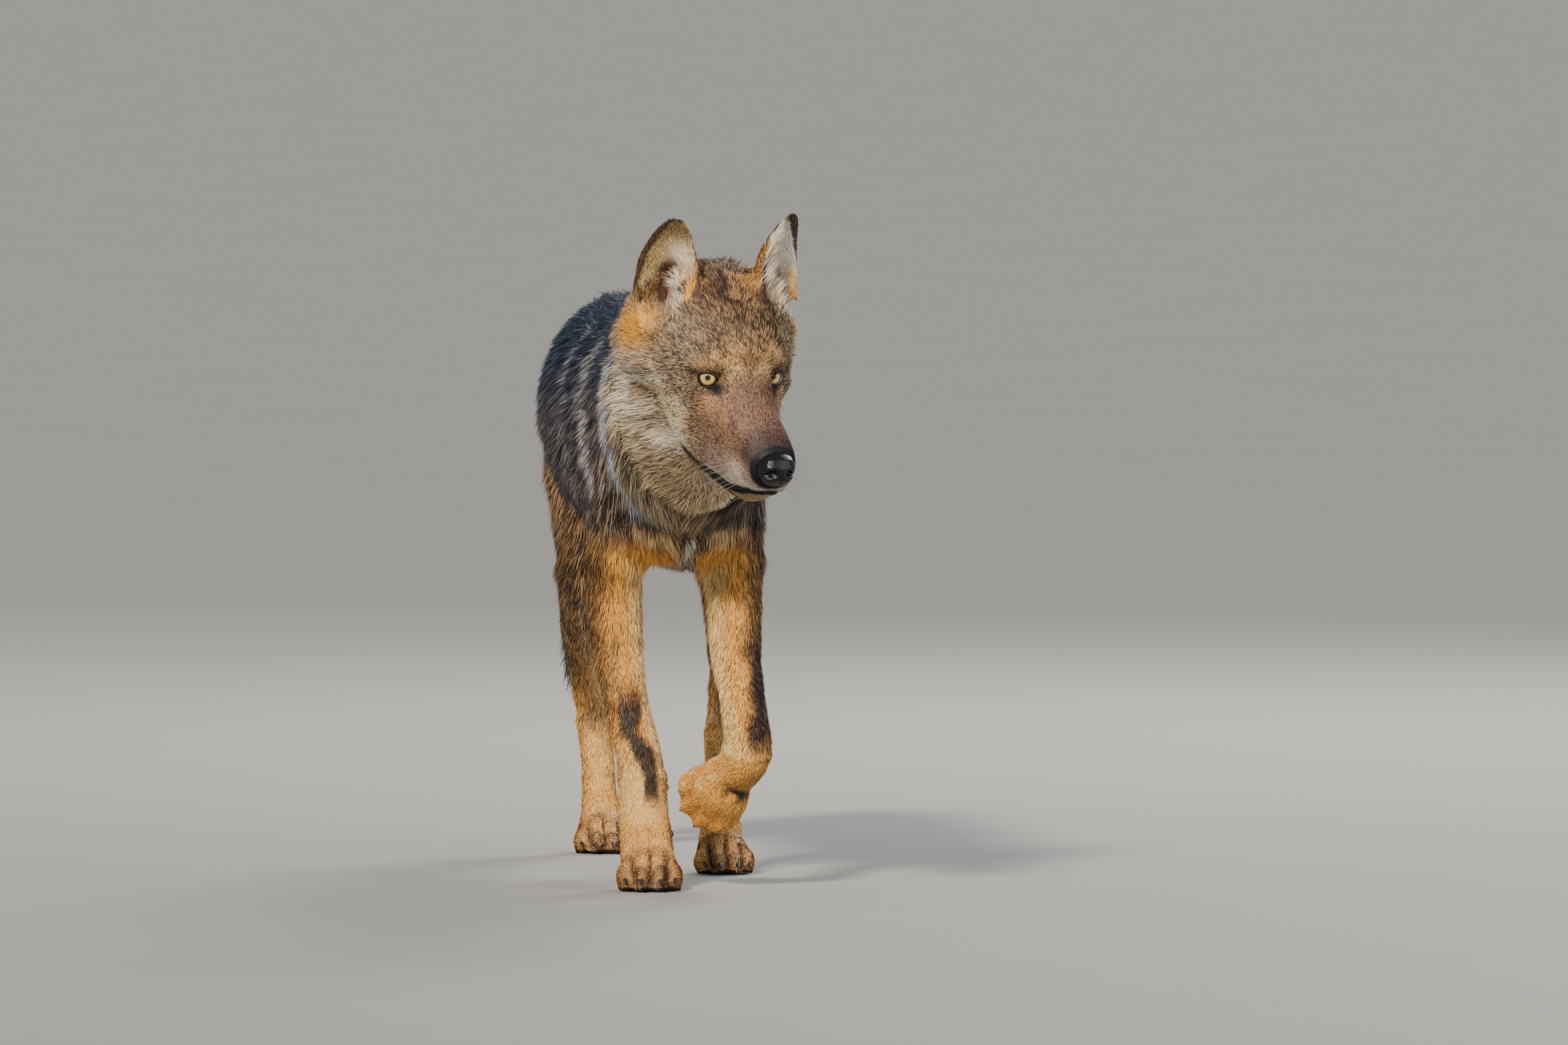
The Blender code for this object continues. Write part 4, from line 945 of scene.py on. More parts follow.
def finer_face(mesh):
    """Cuts the faces of the muzzle, round the eyes, in the ears' hollows and on the toes in four."""
    bm = bmesh.new()
    bm.from_mesh(mesh)
    points = read_vectors(mesh.vertices, "co")
    h = in_head(points)
    face = (h[:, 1] < 0.030) & (np.abs(h[:, 0]) < 0.075) & (h[:, 2] > -0.115) & (h[:, 2] < 0.045)
    face |= (ear_bowl(h)[0] < 1.4) & (h[:, 1] < 0.125)
    for name in FEET:
        from_toes = np.abs(in_foot(name, in_body(points)) - np.array((0, -0.03, 0)))
        face |= np.all(from_toes < np.array((0.045, 0.055, 0.06)), axis=1)
    bm.verts.ensure_lookup_table()
    inside = {bm.verts[i] for i in np.nonzero(face)[0]}
    edges = [edge for edge in bm.edges if edge.verts[0] in inside and edge.verts[1] in inside]
    bmesh.ops.subdivide_edges(bm, edges=edges, cuts=1, use_grid_fill=True)
    return mesh_from(bm, "skin")


FLOWS = {  # which way the hair of the plainer parts lies
    "ear_left": head_to_world(np.array((0.15, 0.0, 1.0))),
    "ear_right": head_to_world(np.array((-0.15, 0.0, 1.0))),
    "tail": (-0.08, 0.28, -1.0),
    "foreleg_right": (0.0, 0.06, -1.0),
    "foreleg_left": (0.0, 0.06, -1.0),
    "forefoot_left": FEET["forefoot_left"].to_3x3() @ Vector((0, -1, 0)),
    "hindleg_right": (0.12, 0.62, -0.80),
    "hindleg_left": (0.02, -0.10, -1.0),
}


def head_flow(points):
    """Back over the head, up the brow, out and down the cheeks, and out from round the eyes."""
    h = in_head(points)
    side = np.sign(h[:, 0])
    flow = np.tile((0.0, 1.0, 0.12), (len(h), 1))
    cheek = ramp(0.030, 0.060, np.abs(h[:, 0])) * ramp(0.03, -0.02, h[:, 2])
    flow = blend(flow, columns(side * 0.50, 0.75, -0.55), cheek)
    flow = blend(flow, columns(side * 0.1, 1.0, -0.25), ramp(-0.060, -0.085, h[:, 2]))
    flow = blend(flow, columns(side * 0.25, 0.8, 0.5), ramp(0.010, 0.040, h[:, 2]))
    flow = head_to_world(flow)
    for hand in (LEFT, RIGHT):
        _, away, spot = openness(points, hand)
        outward = columns(spot[:, 0] + 0.002, 0, spot[:, 2]) / 0.012
        outward = outward @ np.array(eye_frame(hand).to_3x3()).T
        near_eye = ramp(0.024, 0.016, away)[:, None]
        flow = flow * (1 - near_eye) + outward * near_eye
    return flow


def trunk_flow(q):
    """Back along the top, down the chest, back and down over the flanks."""
    _, y, z = q.T
    flow = np.tile((0.0, 0.80, -0.62), (len(q), 1))
    flow = blend(flow, np.array((0.0, 1.0, -0.08)), ramp(0.560, 0.625, z))
    front = ramp(0.10, -0.06, y) * ramp(0.56, 0.48, z)
    flow = blend(flow, np.array((0.0, 0.15, -1.0)), front)
    rear = ramp(0.50, 0.62, y) * ramp(0.58, 0.50, z)
    return blend(flow, np.array((0.0, 0.35, -0.95)), rear)


def flow_at(points, labels):
    """Which way the hair lies, before it is laid down along the skin."""
    flow = np.zeros_like(points)
    for name in FLESH:
        here = in_parts(labels, name)
        q = in_body(points[here])
        if name in FLOWS:
            flow[here] = FLOWS[name]
        elif name == "head":
            flow[here] = head_flow(points[here])
        elif name == "neck":
            down = ramp(0.60, 0.45, q[:, 2])
            across = np.sign(q[:, 0]) * 0.10 * down
            flow[here] = columns(across, 0.85 - 0.55 * down, -0.25 - 0.75 * down)
        elif name == "trunk":
            flow[here] = trunk_flow(q)
        else:
            toe = ramp(0.055, 0.025, in_foot(name, q)[:, 2])
            flow[here] = columns(0, -0.15 - 0.85 * toe, -1.0 + 0.75 * toe)
    return flow


def toward(values, wanted, share):
    """Draws the values to the wanted one, in place."""
    values += (wanted - values) * share


def coat_fields(points, normals, labels):
    """Length, depth, width, cover and lift of the hair at every vertex of the skin."""
    table = np.array([COATS[name.split("_")[0]] for name in FLESH])[labels]
    length, inset, width, cover, lift = (table[:, i].copy() for i in range(5))
    z, h = in_body(points)[:, 2], in_head(points)
    side, back, up = np.abs(h[:, 0]), h[:, 1], h[:, 2]
    head, trunk, tail = (in_parts(labels, name) for name in ("head", "trunk", "tail"))
    muzzle = ramp(0.005, -0.055, back)
    brow = ramp(0.02, 0.06, up)
    cheek = ramp(0.020, 0.090, back) * ramp(0.035, -0.020, up)
    ruff = cheek * ramp(0.050, 0.085, side)
    jowl = bump_at(np.c_[side, back, up], (0.045, 0.052, -0.092), (0.022, 0.045, 0.024))
    face_length = 0.0078 - 0.0036 * muzzle + 0.0050 * brow + 0.016 * cheek + 0.012 * ruff
    face_inset = 0.0028 - 0.0014 * muzzle + 0.0012 * brow + 0.008 * cheek + 0.004 * ruff
    face_width = 0.00056 - 0.00010 * muzzle + 0.00036 * cheek
    length[head] = (face_length + 0.014 * jowl)[head]
    inset[head] = (face_inset + 0.003 * jowl)[head]
    width[head] = face_width[head]
    length += 0.008 * (ramp(0.56, 0.62, z) * trunk) - 0.006 * (ramp(0.45, 0.38, z) * trunk)
    leg_top = in_parts(labels, "leg") * ramp(0.24, 0.34, z)
    length += 0.010 * leg_top
    inset += 0.004 * leg_top
    length += 0.006 * (leg_top * ramp(0.0, 0.9, normals[:, 1]))
    inset[tail] *= (0.45 + 0.55 * ramp(0.19, 0.30, z))[tail]
    sole = in_parts(labels, "foot") & (normals[:, 2] < -0.6) & (z < 0.020)
    length[sole] = 0.004
    inset[sole] = 0.0006
    for hand in (LEFT, RIGHT):
        _, away, spot = openness(points, hand)
        ring = ramp(0.028, 0.016, away)
        toward(length, 0.0032, ring)
        toward(inset, 0.0006, ring)
        toward(width, 0.00045, ring)
        lift += (46 - lift) * ring * ramp(0.002, -0.006, spot[:, 0])
    nose = ramp(0.024, 0.016, radii_from(h, (0.002, -0.119, -0.042), 1.0))
    toward(length, 0.0030, nose)
    toward(inset, 0.0008, nose)
    bowl = ramp(1.3, 0.9, ear_bowl(h)[0]) * head
    toward(length, 0.0060, bowl)
    toward(inset, 0.0020, bowl)
    return length, inset, width, cover, lift


SKIN_FLOOR, HAIR_FLOOR = 0.0012, 0.0004  # nothing of the skin or the coat lies lower
FLESH_SWELL = 0.0008  # closes the fine gaps between the flesh solids before they become one skin
EVENING = 14  # how often the hair's length, depth, width and lift are evened out over the skin


def build_skin(voxel):
    """The skin as one mesh, its markings, and the fields that the coat is laid by."""
    flesh = joined((*FLESH, "eye_left", "eye_right", "nose"), FLESH_SWELL)
    mesh = finer_face(remeshed(mesh_from(flesh, "flesh", smooth=False), voxel))
    edges = edges_of(mesh)
    points = read_vectors(mesh.vertices, "co")
    labels = label_of(points)
    fine = in_parts(labels, "ear", "foot")
    face = in_parts(labels, "head") & (in_head(points)[:, 1] < 0.06)
    folded = in_parts(labels, "forefoot_left")
    points = relaxed(points, edges, 6, 0.5)
    points = relaxed(points, edges, 30, np.where(fine | face, 0.0, 0.6))
    points = relaxed(points, edges, 55, np.where(folded, 0.5, 0.0))
    mesh.vertices.foreach_set("co", points.ravel())
    mesh.update()
    normals = read_vectors(mesh.vertices, "normal")
    length, inset, width, SKIN.cover, lift = coat_fields(points, normals, labels)
    flow = flow_at(points, labels)
    inset = relaxed(inset, edges, EVENING) - 0.0022 * folded
    points = points - unit(relaxed(normals, edges, 4)) * (inset + FLESH_SWELL)[:, None]
    points = relaxed(points, edges, 3, np.where(fine, 0.0, 0.4))
    points = shape_feet(shape_face(points, normals), normals, labels)
    points[:, 2] = np.maximum(points[:, 2], SKIN_FLOOR)
    mesh.vertices.foreach_set("co", points.ravel())
    mesh.update()
    SKIN.points, SKIN.labels = points, labels
    SKIN.normals = unit(relaxed(read_vectors(mesh.vertices, "normal"), edges, 2))
    SKIN.length, SKIN.width, SKIN.lift = (
        relaxed(values, edges, EVENING) for values in (length, width, lift)
    )
    SKIN.flow = unit(relaxed(unit(flow), edges, 26))
    paint = paint_all(points, SKIN.normals, labels)
    shade = (paint.root * 0.55 + paint.pale * 0.30) * (1 - 0.25 * paint.share[:, None])
    set_colours(mesh, vivid(shade))
    return mesh


# ------------------------------------------------------------ the coat


def thinned(count):
    return count // 1


def sample_roots(count, rng):
    """Roots spread over the skin, thicker where the coat wants more cover."""
    mesh = SKIN.obj.data
    mesh.calc_loop_triangles()
    tris = np.empty(len(mesh.loop_triangles) * 3, np.int32)
    mesh.loop_triangles.foreach_get("vertices", tris)
    tris = tris.reshape(-1, 3)
    a, b, c = (SKIN.points[tris[:, i]] for i in range(3))
    area = np.linalg.norm(np.cross(b - a, c - a), axis=1) / 2
    need = SKIN.cover * 2 / (SKIN.width * SKIN.length)
    need = need[tris].mean(axis=1) * area
    total = np.cumsum(need)
    at = (np.arange(count) + rng.random(count)) / count * total[-1]
    tri = np.minimum(np.searchsorted(total, at), len(tris) - 1)
    u, v = rng.random(count), rng.random(count)
    flip = u + v > 1
    u[flip], v[flip] = 1 - u[flip], 1 - v[flip]
    shares = np.c_[1 - u - v, u, v]
    corner = tris[tri]

    def mix(values):
        picked = values[corner]
        extra = (1,) * (picked.ndim - 2)
        return (picked * shares.reshape(-1, 3, *extra)).sum(axis=1)

    return {
        "at": mix(SKIN.points),
        "normal": unit(mix(SKIN.normals)),
        "flow": mix(SKIN.flow),
        "length": mix(SKIN.length),
        "width": mix(SKIN.width),
        "lift": mix(SKIN.lift),
        "label": SKIN.labels[corner[:, 0]],
        "tuft": np.zeros(count),
        "thin": rng.random(count),
    }


# Rows of long pale hair in the ears: which ear, the row's two ends, where its hair leans, its
# length, and how many hairs it has; the points are in the head's frame
EAR_TUFTS = (
    (RIGHT, (-0.054, 0.084, 0.060), (-0.048, 0.094, 0.088), (-0.50, 0.02, 0.86), 0.027, 240),
    (RIGHT, (-0.060, 0.070, 0.036), (-0.056, 0.074, 0.050), (-0.25, 0.20, 0.95), 0.018, 110),
    (RIGHT, (-0.054, 0.090, 0.072), (-0.048, 0.098, 0.096), (-0.70, 0.00, 0.70), 0.017, 300),
    (LEFT, (0.054, 0.070, 0.046), (0.048, 0.080, 0.080), (0.60, 0.15, 0.80), 0.026, 900),
    (LEFT, (0.050, 0.085, 0.075), (0.058, 0.100, 0.112), (0.55, 0.10, 0.85), 0.018, 900),
    (LEFT, (0.080, 0.080, 0.026), (0.066, 0.072, 0.032), (0.15, 0.25, 1.00), 0.022, 900),
)


TUFT_WIDTH, TUFT_LIFT = 0.00042, 30.0  # of a tuft's hairs, the lift in degrees


def with_tufts(roots, rng):
    """Adds the long hairs that cross the openings of the ears."""
    on_skin = skin_finder()
    new = {name: [] for name in roots}
    for side, start, end, lean, length, count in EAR_TUFTS:
        count = thinned(count)
        start, end = Vector(start), Vector(end)
        label = FLESH.index("ear_left" if side == LEFT else "ear_right")
        for t, *jitter in zip(rng.random(count), *rng.normal(0, 0.0048, (3, count))):
            hit, normal = on_skin(start.lerp(end, t) + Vector(jitter))
            hair = {
                "at": hit, "normal": normal, "flow": HEAD.to_3x3() @ Vector(lean), "length": length,
                "width": TUFT_WIDTH, "lift": TUFT_LIFT, "label": label, "tuft": 1.0, "thin": t,
            }
            for name, value in hair.items():
                new[name].append(value)
    return {name: np.concatenate([values, np.array(new[name])]) for name, values in roots.items()}


def bald(roots):
    """Roots that grow no hair: the open eye, the nose leather, the lips, the pads."""
    at = roots["at"]
    h = in_head(at)
    gone = radii_from(h, (0.002, -0.1195, -0.0408), (0.0225, 0.0175, 0.0190)) < 1.0
    for hand in (LEFT, RIGHT):
        scale, away, _ = openness(at, hand)
        gone |= (away < 0.024) & (scale < 1.14)
    gone |= distance_to_lip(h) < 0.0016
    gone |= (ear_bowl(h)[0] < 0.45) & (roots["tuft"] < 0.5) & (roots["thin"] < 0.6)
    gone |= (at[:, 2] < 0.0035) & (roots["normal"][:, 2] < -0.7)
    return gone


ROOT_DEPTH = 0.0006  # how far under the skin a hair starts


def lay_hairs(roots, rng, clump):
    """Each hair as a narrow kite of two triangles: root, two sides of the bend, and tip."""
    n, at = roots["normal"], roots["at"]
    count = len(at)
    flow = unit(roots["flow"] - n * np.sum(roots["flow"] * n, axis=1)[:, None])
    across = np.cross(n, flow)
    swirl = (cloud(at, 0.022, 40) - 0.5) * 0.9 + (cloud(at, 0.008, 41) - 0.5) * 0.7
    swirl = swirl + rng.normal(0, 0.16, count)
    flow = flow * np.cos(swirl)[:, None] + across * np.sin(swirl)[:, None]
    across = np.cross(n, flow)
    lift = np.radians(roots["lift"]) * rng.uniform(0.55, 1.25, count)
    lift += (cloud(at, 0.014, 42) - 0.5) * 0.25
    length = roots["length"] * rng.uniform(0.62, 1.12, count)

    def lean(angle):
        return flow * np.cos(angle)[:, None] + n * np.sin(angle)[:, None]

    bend = at + lean(lift + 0.16) * (length * 0.48)[:, None]
    tip = bend + lean(lift - 0.14) * (length * 0.52)[:, None]
    tip[:, 2] -= length * np.clip(length / 0.05, 0, 1) * 0.10
    warp = np.c_[cloud(at, 0.02, 43), cloud(at, 0.02, 44), cloud(at, 0.02, 45)] * 0.03
    cells = np.floor((at + warp) / clump[:, None]).astype(np.int64)
    key = cells @ np.array([73856093, 19349663, 83492791])
    _, group = np.unique(key, return_inverse=True)
    size = np.bincount(group)
    middle = np.stack([np.bincount(group, weights=tip[:, i]) / size for i in range(3)], axis=1)
    pull = (rng.uniform(0.15, 0.55, count) * (size[group] > 2))[:, None]
    inward = middle[group] - tip
    reach = np.linalg.norm(inward, axis=1)[:, None]
    inward = inward * np.minimum(1, 0.45 * length[:, None] / np.maximum(reach, 1e-6))
    tip = tip + inward * pull
    bend = bend + inward * pull * 0.35
    roll = rng.normal(0, 0.45, count)
    sideways = across * np.cos(roll)[:, None] + n * np.sin(roll)[:, None]
    half = sideways * (roots["width"] * rng.uniform(0.75, 1.25, count) / 2)[:, None]
    return at - n * ROOT_DEPTH, bend + half, bend - half, tip, group


def hair_colours(roots, group, rng):
    paint = paint_all(roots["at"], roots["normal"], roots["label"])
    paint.lay("ear_white", roots["tuft"] * (0.45 + 0.5 * roots["thin"]))
    count = len(roots["at"])
    tuft_tone = hashed(np.c_[group, group * 0, group * 0], 7)
    mixed = 4 * paint.share * (1 - paint.share) * (0.80 + 0.20 * ramp(0.010, 0.026, roots["length"]))
    dark = rng.random(count) < np.clip(paint.share + (tuft_tone - 0.5) * mixed, 0, 1)
    tone = np.exp(rng.normal(0, 0.18, count) + (tuft_tone - 0.5) * 0.45)
    middle = np.where(dark[:, None], paint.dark * 1.6 + paint.pale * 0.10, paint.pale * tone[:, None])
    tip_dark = rng.random(count) < paint.share * 0.55
    tip = np.where(dark[:, None], paint.dark, middle * 1.06)
    tip = np.where((tip_dark & ~dark)[:, None], paint.dark * 0.6 + paint.pale * 0.4, tip)
    return tuple(vivid(colours) for colours in (paint.root * 0.70, middle, tip))


UNWRAP_LINES = {  # the line that a part's unwrap turns round: a point and a direction, body's frame
    "head": ((0.02, -0.30, 0.54), (0.36, -0.81, -0.47)),
    "neck": ((0.0, -0.15, 0.52), (0.0, -1.0, 0.1)),
    "trunk": ((0.0, 0.30, 0.50), (0.0, 1.0, 0.0)),
    "tail": ((-0.025, 0.79, 0.35), (-0.1, 0.25, -1.0)),
    "ear_left": ((0.05, -0.30, 0.68), (0.0, 0.0, 1.0)),
    "ear_right": ((-0.03, -0.28, 0.68), (0.0, 0.0, 1.0)),
    "foreleg_right": ((-0.060, 0.015, 0.2), (0.0, 0.0, 1.0)),
    "foreleg_left": ((0.064, -0.02, 0.2), (0.0, 0.0, 1.0)),
    "forefoot_right": ((-0.036, 0.0, 0.0), (0.0, 0.0, 1.0)),
    "forefoot_left": ((0.045, -0.02, 0.11), (0.0, 0.0, 1.0)),
    "hindleg_right": ((-0.056, 0.64, 0.2), (0.0, 0.35, -0.8)),
    "hindleg_left": ((0.085, 0.43, 0.2), (0.0, 0.0, 1.0)),
    "hindfoot_right": ((-0.028, 0.76, 0.0), (0.0, 0.0, 1.0)),
    "hindfoot_left": ((0.073, 0.33, 0.0), (0.0, 0.0, 1.0)),
}


def unwrap(points, name):
    """Turns a part of the skin open round its own line: angle across, reach along, both 0 to 1."""
    at, axis = UNWRAP_LINES[name]
    axis = np.array(axis) / np.linalg.norm(axis)
    away = in_body(points) - np.array(at)
    along = away @ axis
    first = np.cross(axis, (0.31, 0.17, 0.93) if abs(axis[2]) < 0.8 else (0.93, 0.31, 0.17))
    first /= np.linalg.norm(first)
    second = np.cross(axis, first)
    turn = np.arctan2(away @ second, away @ first) / (2 * math.pi) + 0.5
    low, high = along.min(), along.max()
    return turn, (along - low) / max(high - low, 1e-6)


PATCH = 0.003  # the size of a hair's own patch in the unwrap


def coat_piece(name, parts, hairs, colours, roots, chosen):
    """One joined mesh of hairs, each with its patch of the skin's unwrap and its own colours."""
    at, one, other, tip = (points[chosen] for points in hairs)
    count = len(at)
    verts = np.stack([at, one, other, tip], axis=1).reshape(-1, 3)
    verts[:, 2] = np.maximum(verts[:, 2], HAIR_FLOOR)
    base = (np.arange(count) * 4)[:, None]
    tris = np.concatenate([base + (0, 2, 1), base + (1, 2, 3)], axis=1).reshape(-1)
    mesh = bpy.data.meshes.new(name)
    mesh.vertices.add(len(verts))
    mesh.vertices.foreach_set("co", verts.astype(np.float32).ravel())
    mesh.loops.add(len(tris))
    mesh.loops.foreach_set("vertex_index", tris.astype(np.int32))
    mesh.polygons.add(count * 2)
    mesh.polygons.foreach_set("loop_start", np.arange(count * 2, dtype=np.int32) * 3)
    mesh.update(calc_edges=True)
    root, middle, end = (values[chosen] for values in colours)
    set_colours(mesh, np.stack([root, middle, middle, end], axis=1).reshape(-1, 3))
    uv = np.zeros((count, 4, 2))
    labels = roots["label"][chosen]
    for slot_number, part in enumerate(parts):
        here = labels == FLESH.index(part)
        if not here.any():
            continue
        u, v = unwrap(at[here], part)
        u = (slot_number + 0.02 + 0.96 * u) / len(parts)
        uv[here] = np.c_[u, 0.01 + 0.97 * v][:, None, :]
    uv += np.array([(0.5, 0.0), (0.0, 0.5), (1.0, 0.5), (0.5, 1.0)]) * PATCH
    layer = mesh.uv_layers.new(name="OFBake")
    layer.data.foreach_set("uv", uv.reshape(-1, 2)[tris].astype(np.float32).ravel())
    normal = roots["normal"][chosen]
    blade = np.cross(one - other, tip - at)
    blade = unit(blade * np.sign(np.sum(blade * normal, axis=1))[:, None])
    soft = unit(normal * 0.62 + blade * 0.38)
    mesh.shade_smooth()
    mesh.normals_split_custom_set_from_vertices(np.repeat(soft, 4, axis=0).astype(np.float32))
    return mesh


MOST_TRIANGLES = 190000  # in one piece of the coat
COAT_PIECES = {  # the slot of each group of pieces, and the parts it covers
    "coat_face": ("coat_grey", ("head",)),
    "coat_ears": ("coat_tan", ("ear_left", "ear_right")),
    "coat_neck": ("coat_grey", ("neck",)),
    "coat_trunk": ("coat_grey", ("trunk",)),
    "coat_tail": ("coat_dark", ("tail",)),
    "coat_forelegs": (
        "coat_tan", ("foreleg_right", "foreleg_left", "forefoot_right", "forefoot_left")
    ),
    "coat_hindlegs": (
        "coat_tan", ("hindleg_right", "hindleg_left", "hindfoot_right", "hindfoot_left")
    ),
}


# ------------------------------------------------------------ materials


def node_adder(tree):
    """A function that adds a node: its kind, what feeds or fills its inputs, its own settings."""

    def add(kind, inputs, **settings):
        node = tree.nodes.new("ShaderNode" + kind)
        for name, value in settings.items():
            setattr(node, name, value)
        feed(tree, node, inputs)
        return node

    return add


def feed(tree, node, inputs):
    """Links each named input to the output it is given, or sets it to the value."""
    for name, value in inputs.items():
        if isinstance(value, bpy.types.NodeSocket):
            tree.links.new(value, node.inputs[name])
        else:
            node.inputs[name].default_value = value


def streak_group():
    """Breaks a colour up lightly by fine noise on object coordinates, and gives a height."""
    group = bpy.data.node_groups.get("fine_variation")
    if group:
        return group
    group = bpy.data.node_groups.new("fine_variation", "ShaderNodeTree")
    sockets = (
        ("Colour", "INPUT", "Color", None), ("Scale", "INPUT", "Float", 400.0),
        ("Amount", "INPUT", "Float", 0.2), ("Colour", "OUTPUT", "Color", None),
        ("Height", "OUTPUT", "Float", None),
    )
    for name, way, kind, value in sockets:
        socket = group.interface.new_socket(name, in_out=way, socket_type="NodeSocket" + kind)
        if value is not None:
            socket.default_value = value
    add = node_adder(group)
    entry, leave = group.nodes.new("NodeGroupInput"), group.nodes.new("NodeGroupOutput")
    place = add("TexCoord", {})
    noise = add("TexNoise", {
        "Detail": 3.0, "Vector": place.outputs["Object"], "Scale": entry.outputs["Scale"],
    })
    spread = add("Math", {0: noise.outputs["Fac"], 1: 0.5}, operation="SUBTRACT")
    times = add(
        "Math", {0: spread.outputs[0], 1: entry.outputs["Amount"], 2: 1.0}, operation="MULTIPLY_ADD"
    )
    tint = add(
        "VectorMath", {0: entry.outputs["Colour"], "Scale": times.outputs[0]}, operation="SCALE"
    )
    feed(group, leave, {"Colour": tint.outputs["Vector"], "Height": noise.outputs["Fac"]})
    return group


def surface(name, roughness, noise, bump, colour=None, coat=0.0):
    """One colour, or the colours the mesh carries, broken up by fine noise with a little relief.
    The noise is given by its scale and its strength."""
    material = bpy.data.materials.new(name)
    material.use_nodes = True
    tree = material.node_tree
    add, shader = node_adder(tree), tree.nodes["Principled BSDF"]
    if colour:
        colour, depth = (*colour, 1.0), 0.0006
    else:
        colour, depth = add("Attribute", {}, attribute_name="coat").outputs["Color"], 0.001
    scale, amount = noise
    vary = add("Group", {}, node_tree=streak_group())
    feed(tree, vary, {"Scale": scale, "Amount": amount, "Colour": colour})
    inputs = {
        "Base Color": vary.outputs["Colour"], "Roughness": roughness, "Specular IOR Level": 0.30,
        "Coat Weight": coat, "Coat Roughness": 0.06,
    }
    if bump:
        relief = add("Bump", {
            "Strength": bump, "Distance": depth, "Height": vary.outputs["Height"],
        })
        inputs["Normal"] = relief.outputs["Normal"]
    feed(tree, shader, inputs)
    return material


def eye_material(settings):
    """Amber iris with fine spokes, small pupil, dark edge ring; the carried map is in radii."""
    material = bpy.data.materials.new("eye_surface")
    material.use_nodes = True
    tree = material.node_tree
    add = node_adder(tree)
    carried = add("UVMap", {}, uv_map="iris")
    reach = add("VectorMath", {0: carried.outputs["UV"]}, operation="LENGTH")
    turn = add("VectorMath", {0: carried.outputs["UV"]}, operation="NORMALIZE")
    spokes = add("TexNoise", {"Scale": 9.0, "Detail": 4.0, "Vector": turn.outputs["Vector"]})
    bands = add("ValToRGB", {"Fac": reach.outputs["Value"]})
    stops = bands.color_ramp.elements
    stops[0].position, stops[0].color = 0.0, (0.004, 0.004, 0.006, 1)
    stops[1].position, stops[1].color = settings.pupil, (0.004, 0.004, 0.006, 1)
    iris = settings.iris_colour
    for position, colour in (
        (settings.pupil + 0.02, [c * 0.62 for c in iris]),
        (settings.pupil + 0.14, list(iris)),
        (0.46, [min(1, c * 1.08) for c in iris]),
        (0.55, [c * 0.55 for c in iris]),
        (0.595, (0.020, 0.013, 0.008)),
        (0.66, (0.045, 0.030, 0.022)),
        (1.0, (0.030, 0.018, 0.014)),
    ):
        stops.new(position).color = (*colour, 1)
    contrast = add("MapRange", {
        "Value": spokes.outputs["Fac"], "From Min": 0.35, "From Max": 0.65,
        "To Min": 0.78, "To Max": 1.15,
    })
    tint = add(
        "VectorMath", {0: bands.outputs["Color"], "Scale": contrast.outputs["Result"]},
        operation="SCALE",
    )
    feed(tree, tree.nodes["Principled BSDF"], {
        "Base Color": tint.outputs["Vector"], "Roughness": 0.22, "Specular IOR Level": 0.30,
        "Coat Weight": 1.0, "Coat Roughness": 0.02,
    })
    return material


# ------------------------------------------------------------ face pieces


def gaze(side):
    """Which way an eye looks, in its own frame: mostly at GAZE, a little straight out."""
    look = eye_frame(side).to_3x3().inverted() @ Vector(GAZE).normalized()
    return (look.normalized() * 0.75 + Vector((0, 1, 0)) * 0.25).normalized()


def build_eye(side, settings):
    """An eyeball with a slightly bulged clear front, and the map its colours are read from."""
    bm = bmesh.new()
    bmesh.ops.create_uvsphere(bm, u_segments=64, v_segments=48, radius=settings.radius)
    look = gaze(side)
    for vert in bm.verts:
        facing = max(0.0, vert.co.normalized().dot(look))
        vert.co *= 1 + 0.045 * max(0.0, (facing - 0.80) / 0.20) ** 0.8
    layer = bm.loops.layers.uv.new("iris")
    across = Vector((1, 0, 0)) - look * look.x
    across.normalize()
    upward = look.cross(across)
    for face in bm.faces:
        for loop in face.loops:
            spot = loop.vert.co.normalized()
            reach = math.acos(max(-1.0, min(1.0, spot.dot(look)))) / math.radians(70)
            flat = Vector((spot.dot(across), spot.dot(upward)))
            length = max(flat.length, 1e-6)
            loop[layer].uv = flat / length * min(reach, 1.2)
    return placed(bm, eye_frame(side))


LID_STEPS = 64
LID_PROFILE = (  # how far out of the opening, and how high off the eyeball
    (0.985, -0.0006), (0.990, 0.0005), (1.02, 0.0010), (1.07, 0.0014),
    (1.15, 0.0016), (1.26, 0.0013), (1.40, 0.0004), (1.55, -0.0014),
)


def build_lids(side, settings):
    """The dark wet rims of the lids, rolled from the eyeball out over the skin."""
    bm = bmesh.new()
    layer = bm.verts.layers.float_color.new("coat")
    rim, skin = np.array((0.008, 0.006, 0.007)), np.array((0.075, 0.050, 0.035))
    rings = []
    for number, (scale, height) in enumerate(LID_PROFILE):
        out_share = min(1.0, max(0.0, (number - 4) / 3))
        ring = []
        for i in range(LID_STEPS):
            turn = 2 * math.pi * i / LID_STEPS
            across, high = almond(turn)
            nasal = max(0.0, -math.cos(turn))  # 1 at the inner corner, drawn out and down
            across *= scale
            high *= scale
            across -= nasal ** 6 * math.radians(11) * min(1.0, (scale - 0.95) * 6) * 0.9
            high -= nasal ** 6 * math.radians(12) * min(1.0, max(0.0, scale - 0.98) * 4)
            spot = Vector((
                math.sin(across) * math.cos(high),
                math.cos(across) * math.cos(high),
                math.sin(high),
            ))
            vert = bm.verts.new(spot * (settings.radius + height))
            vert[layer] = (*(rim + (skin - rim) * out_share * (1 - nasal ** 3)), 1.0)
            ring.append(vert)
        rings.append(ring)
    bridge(bm, rings)
    return placed(bm, eye_frame(side))


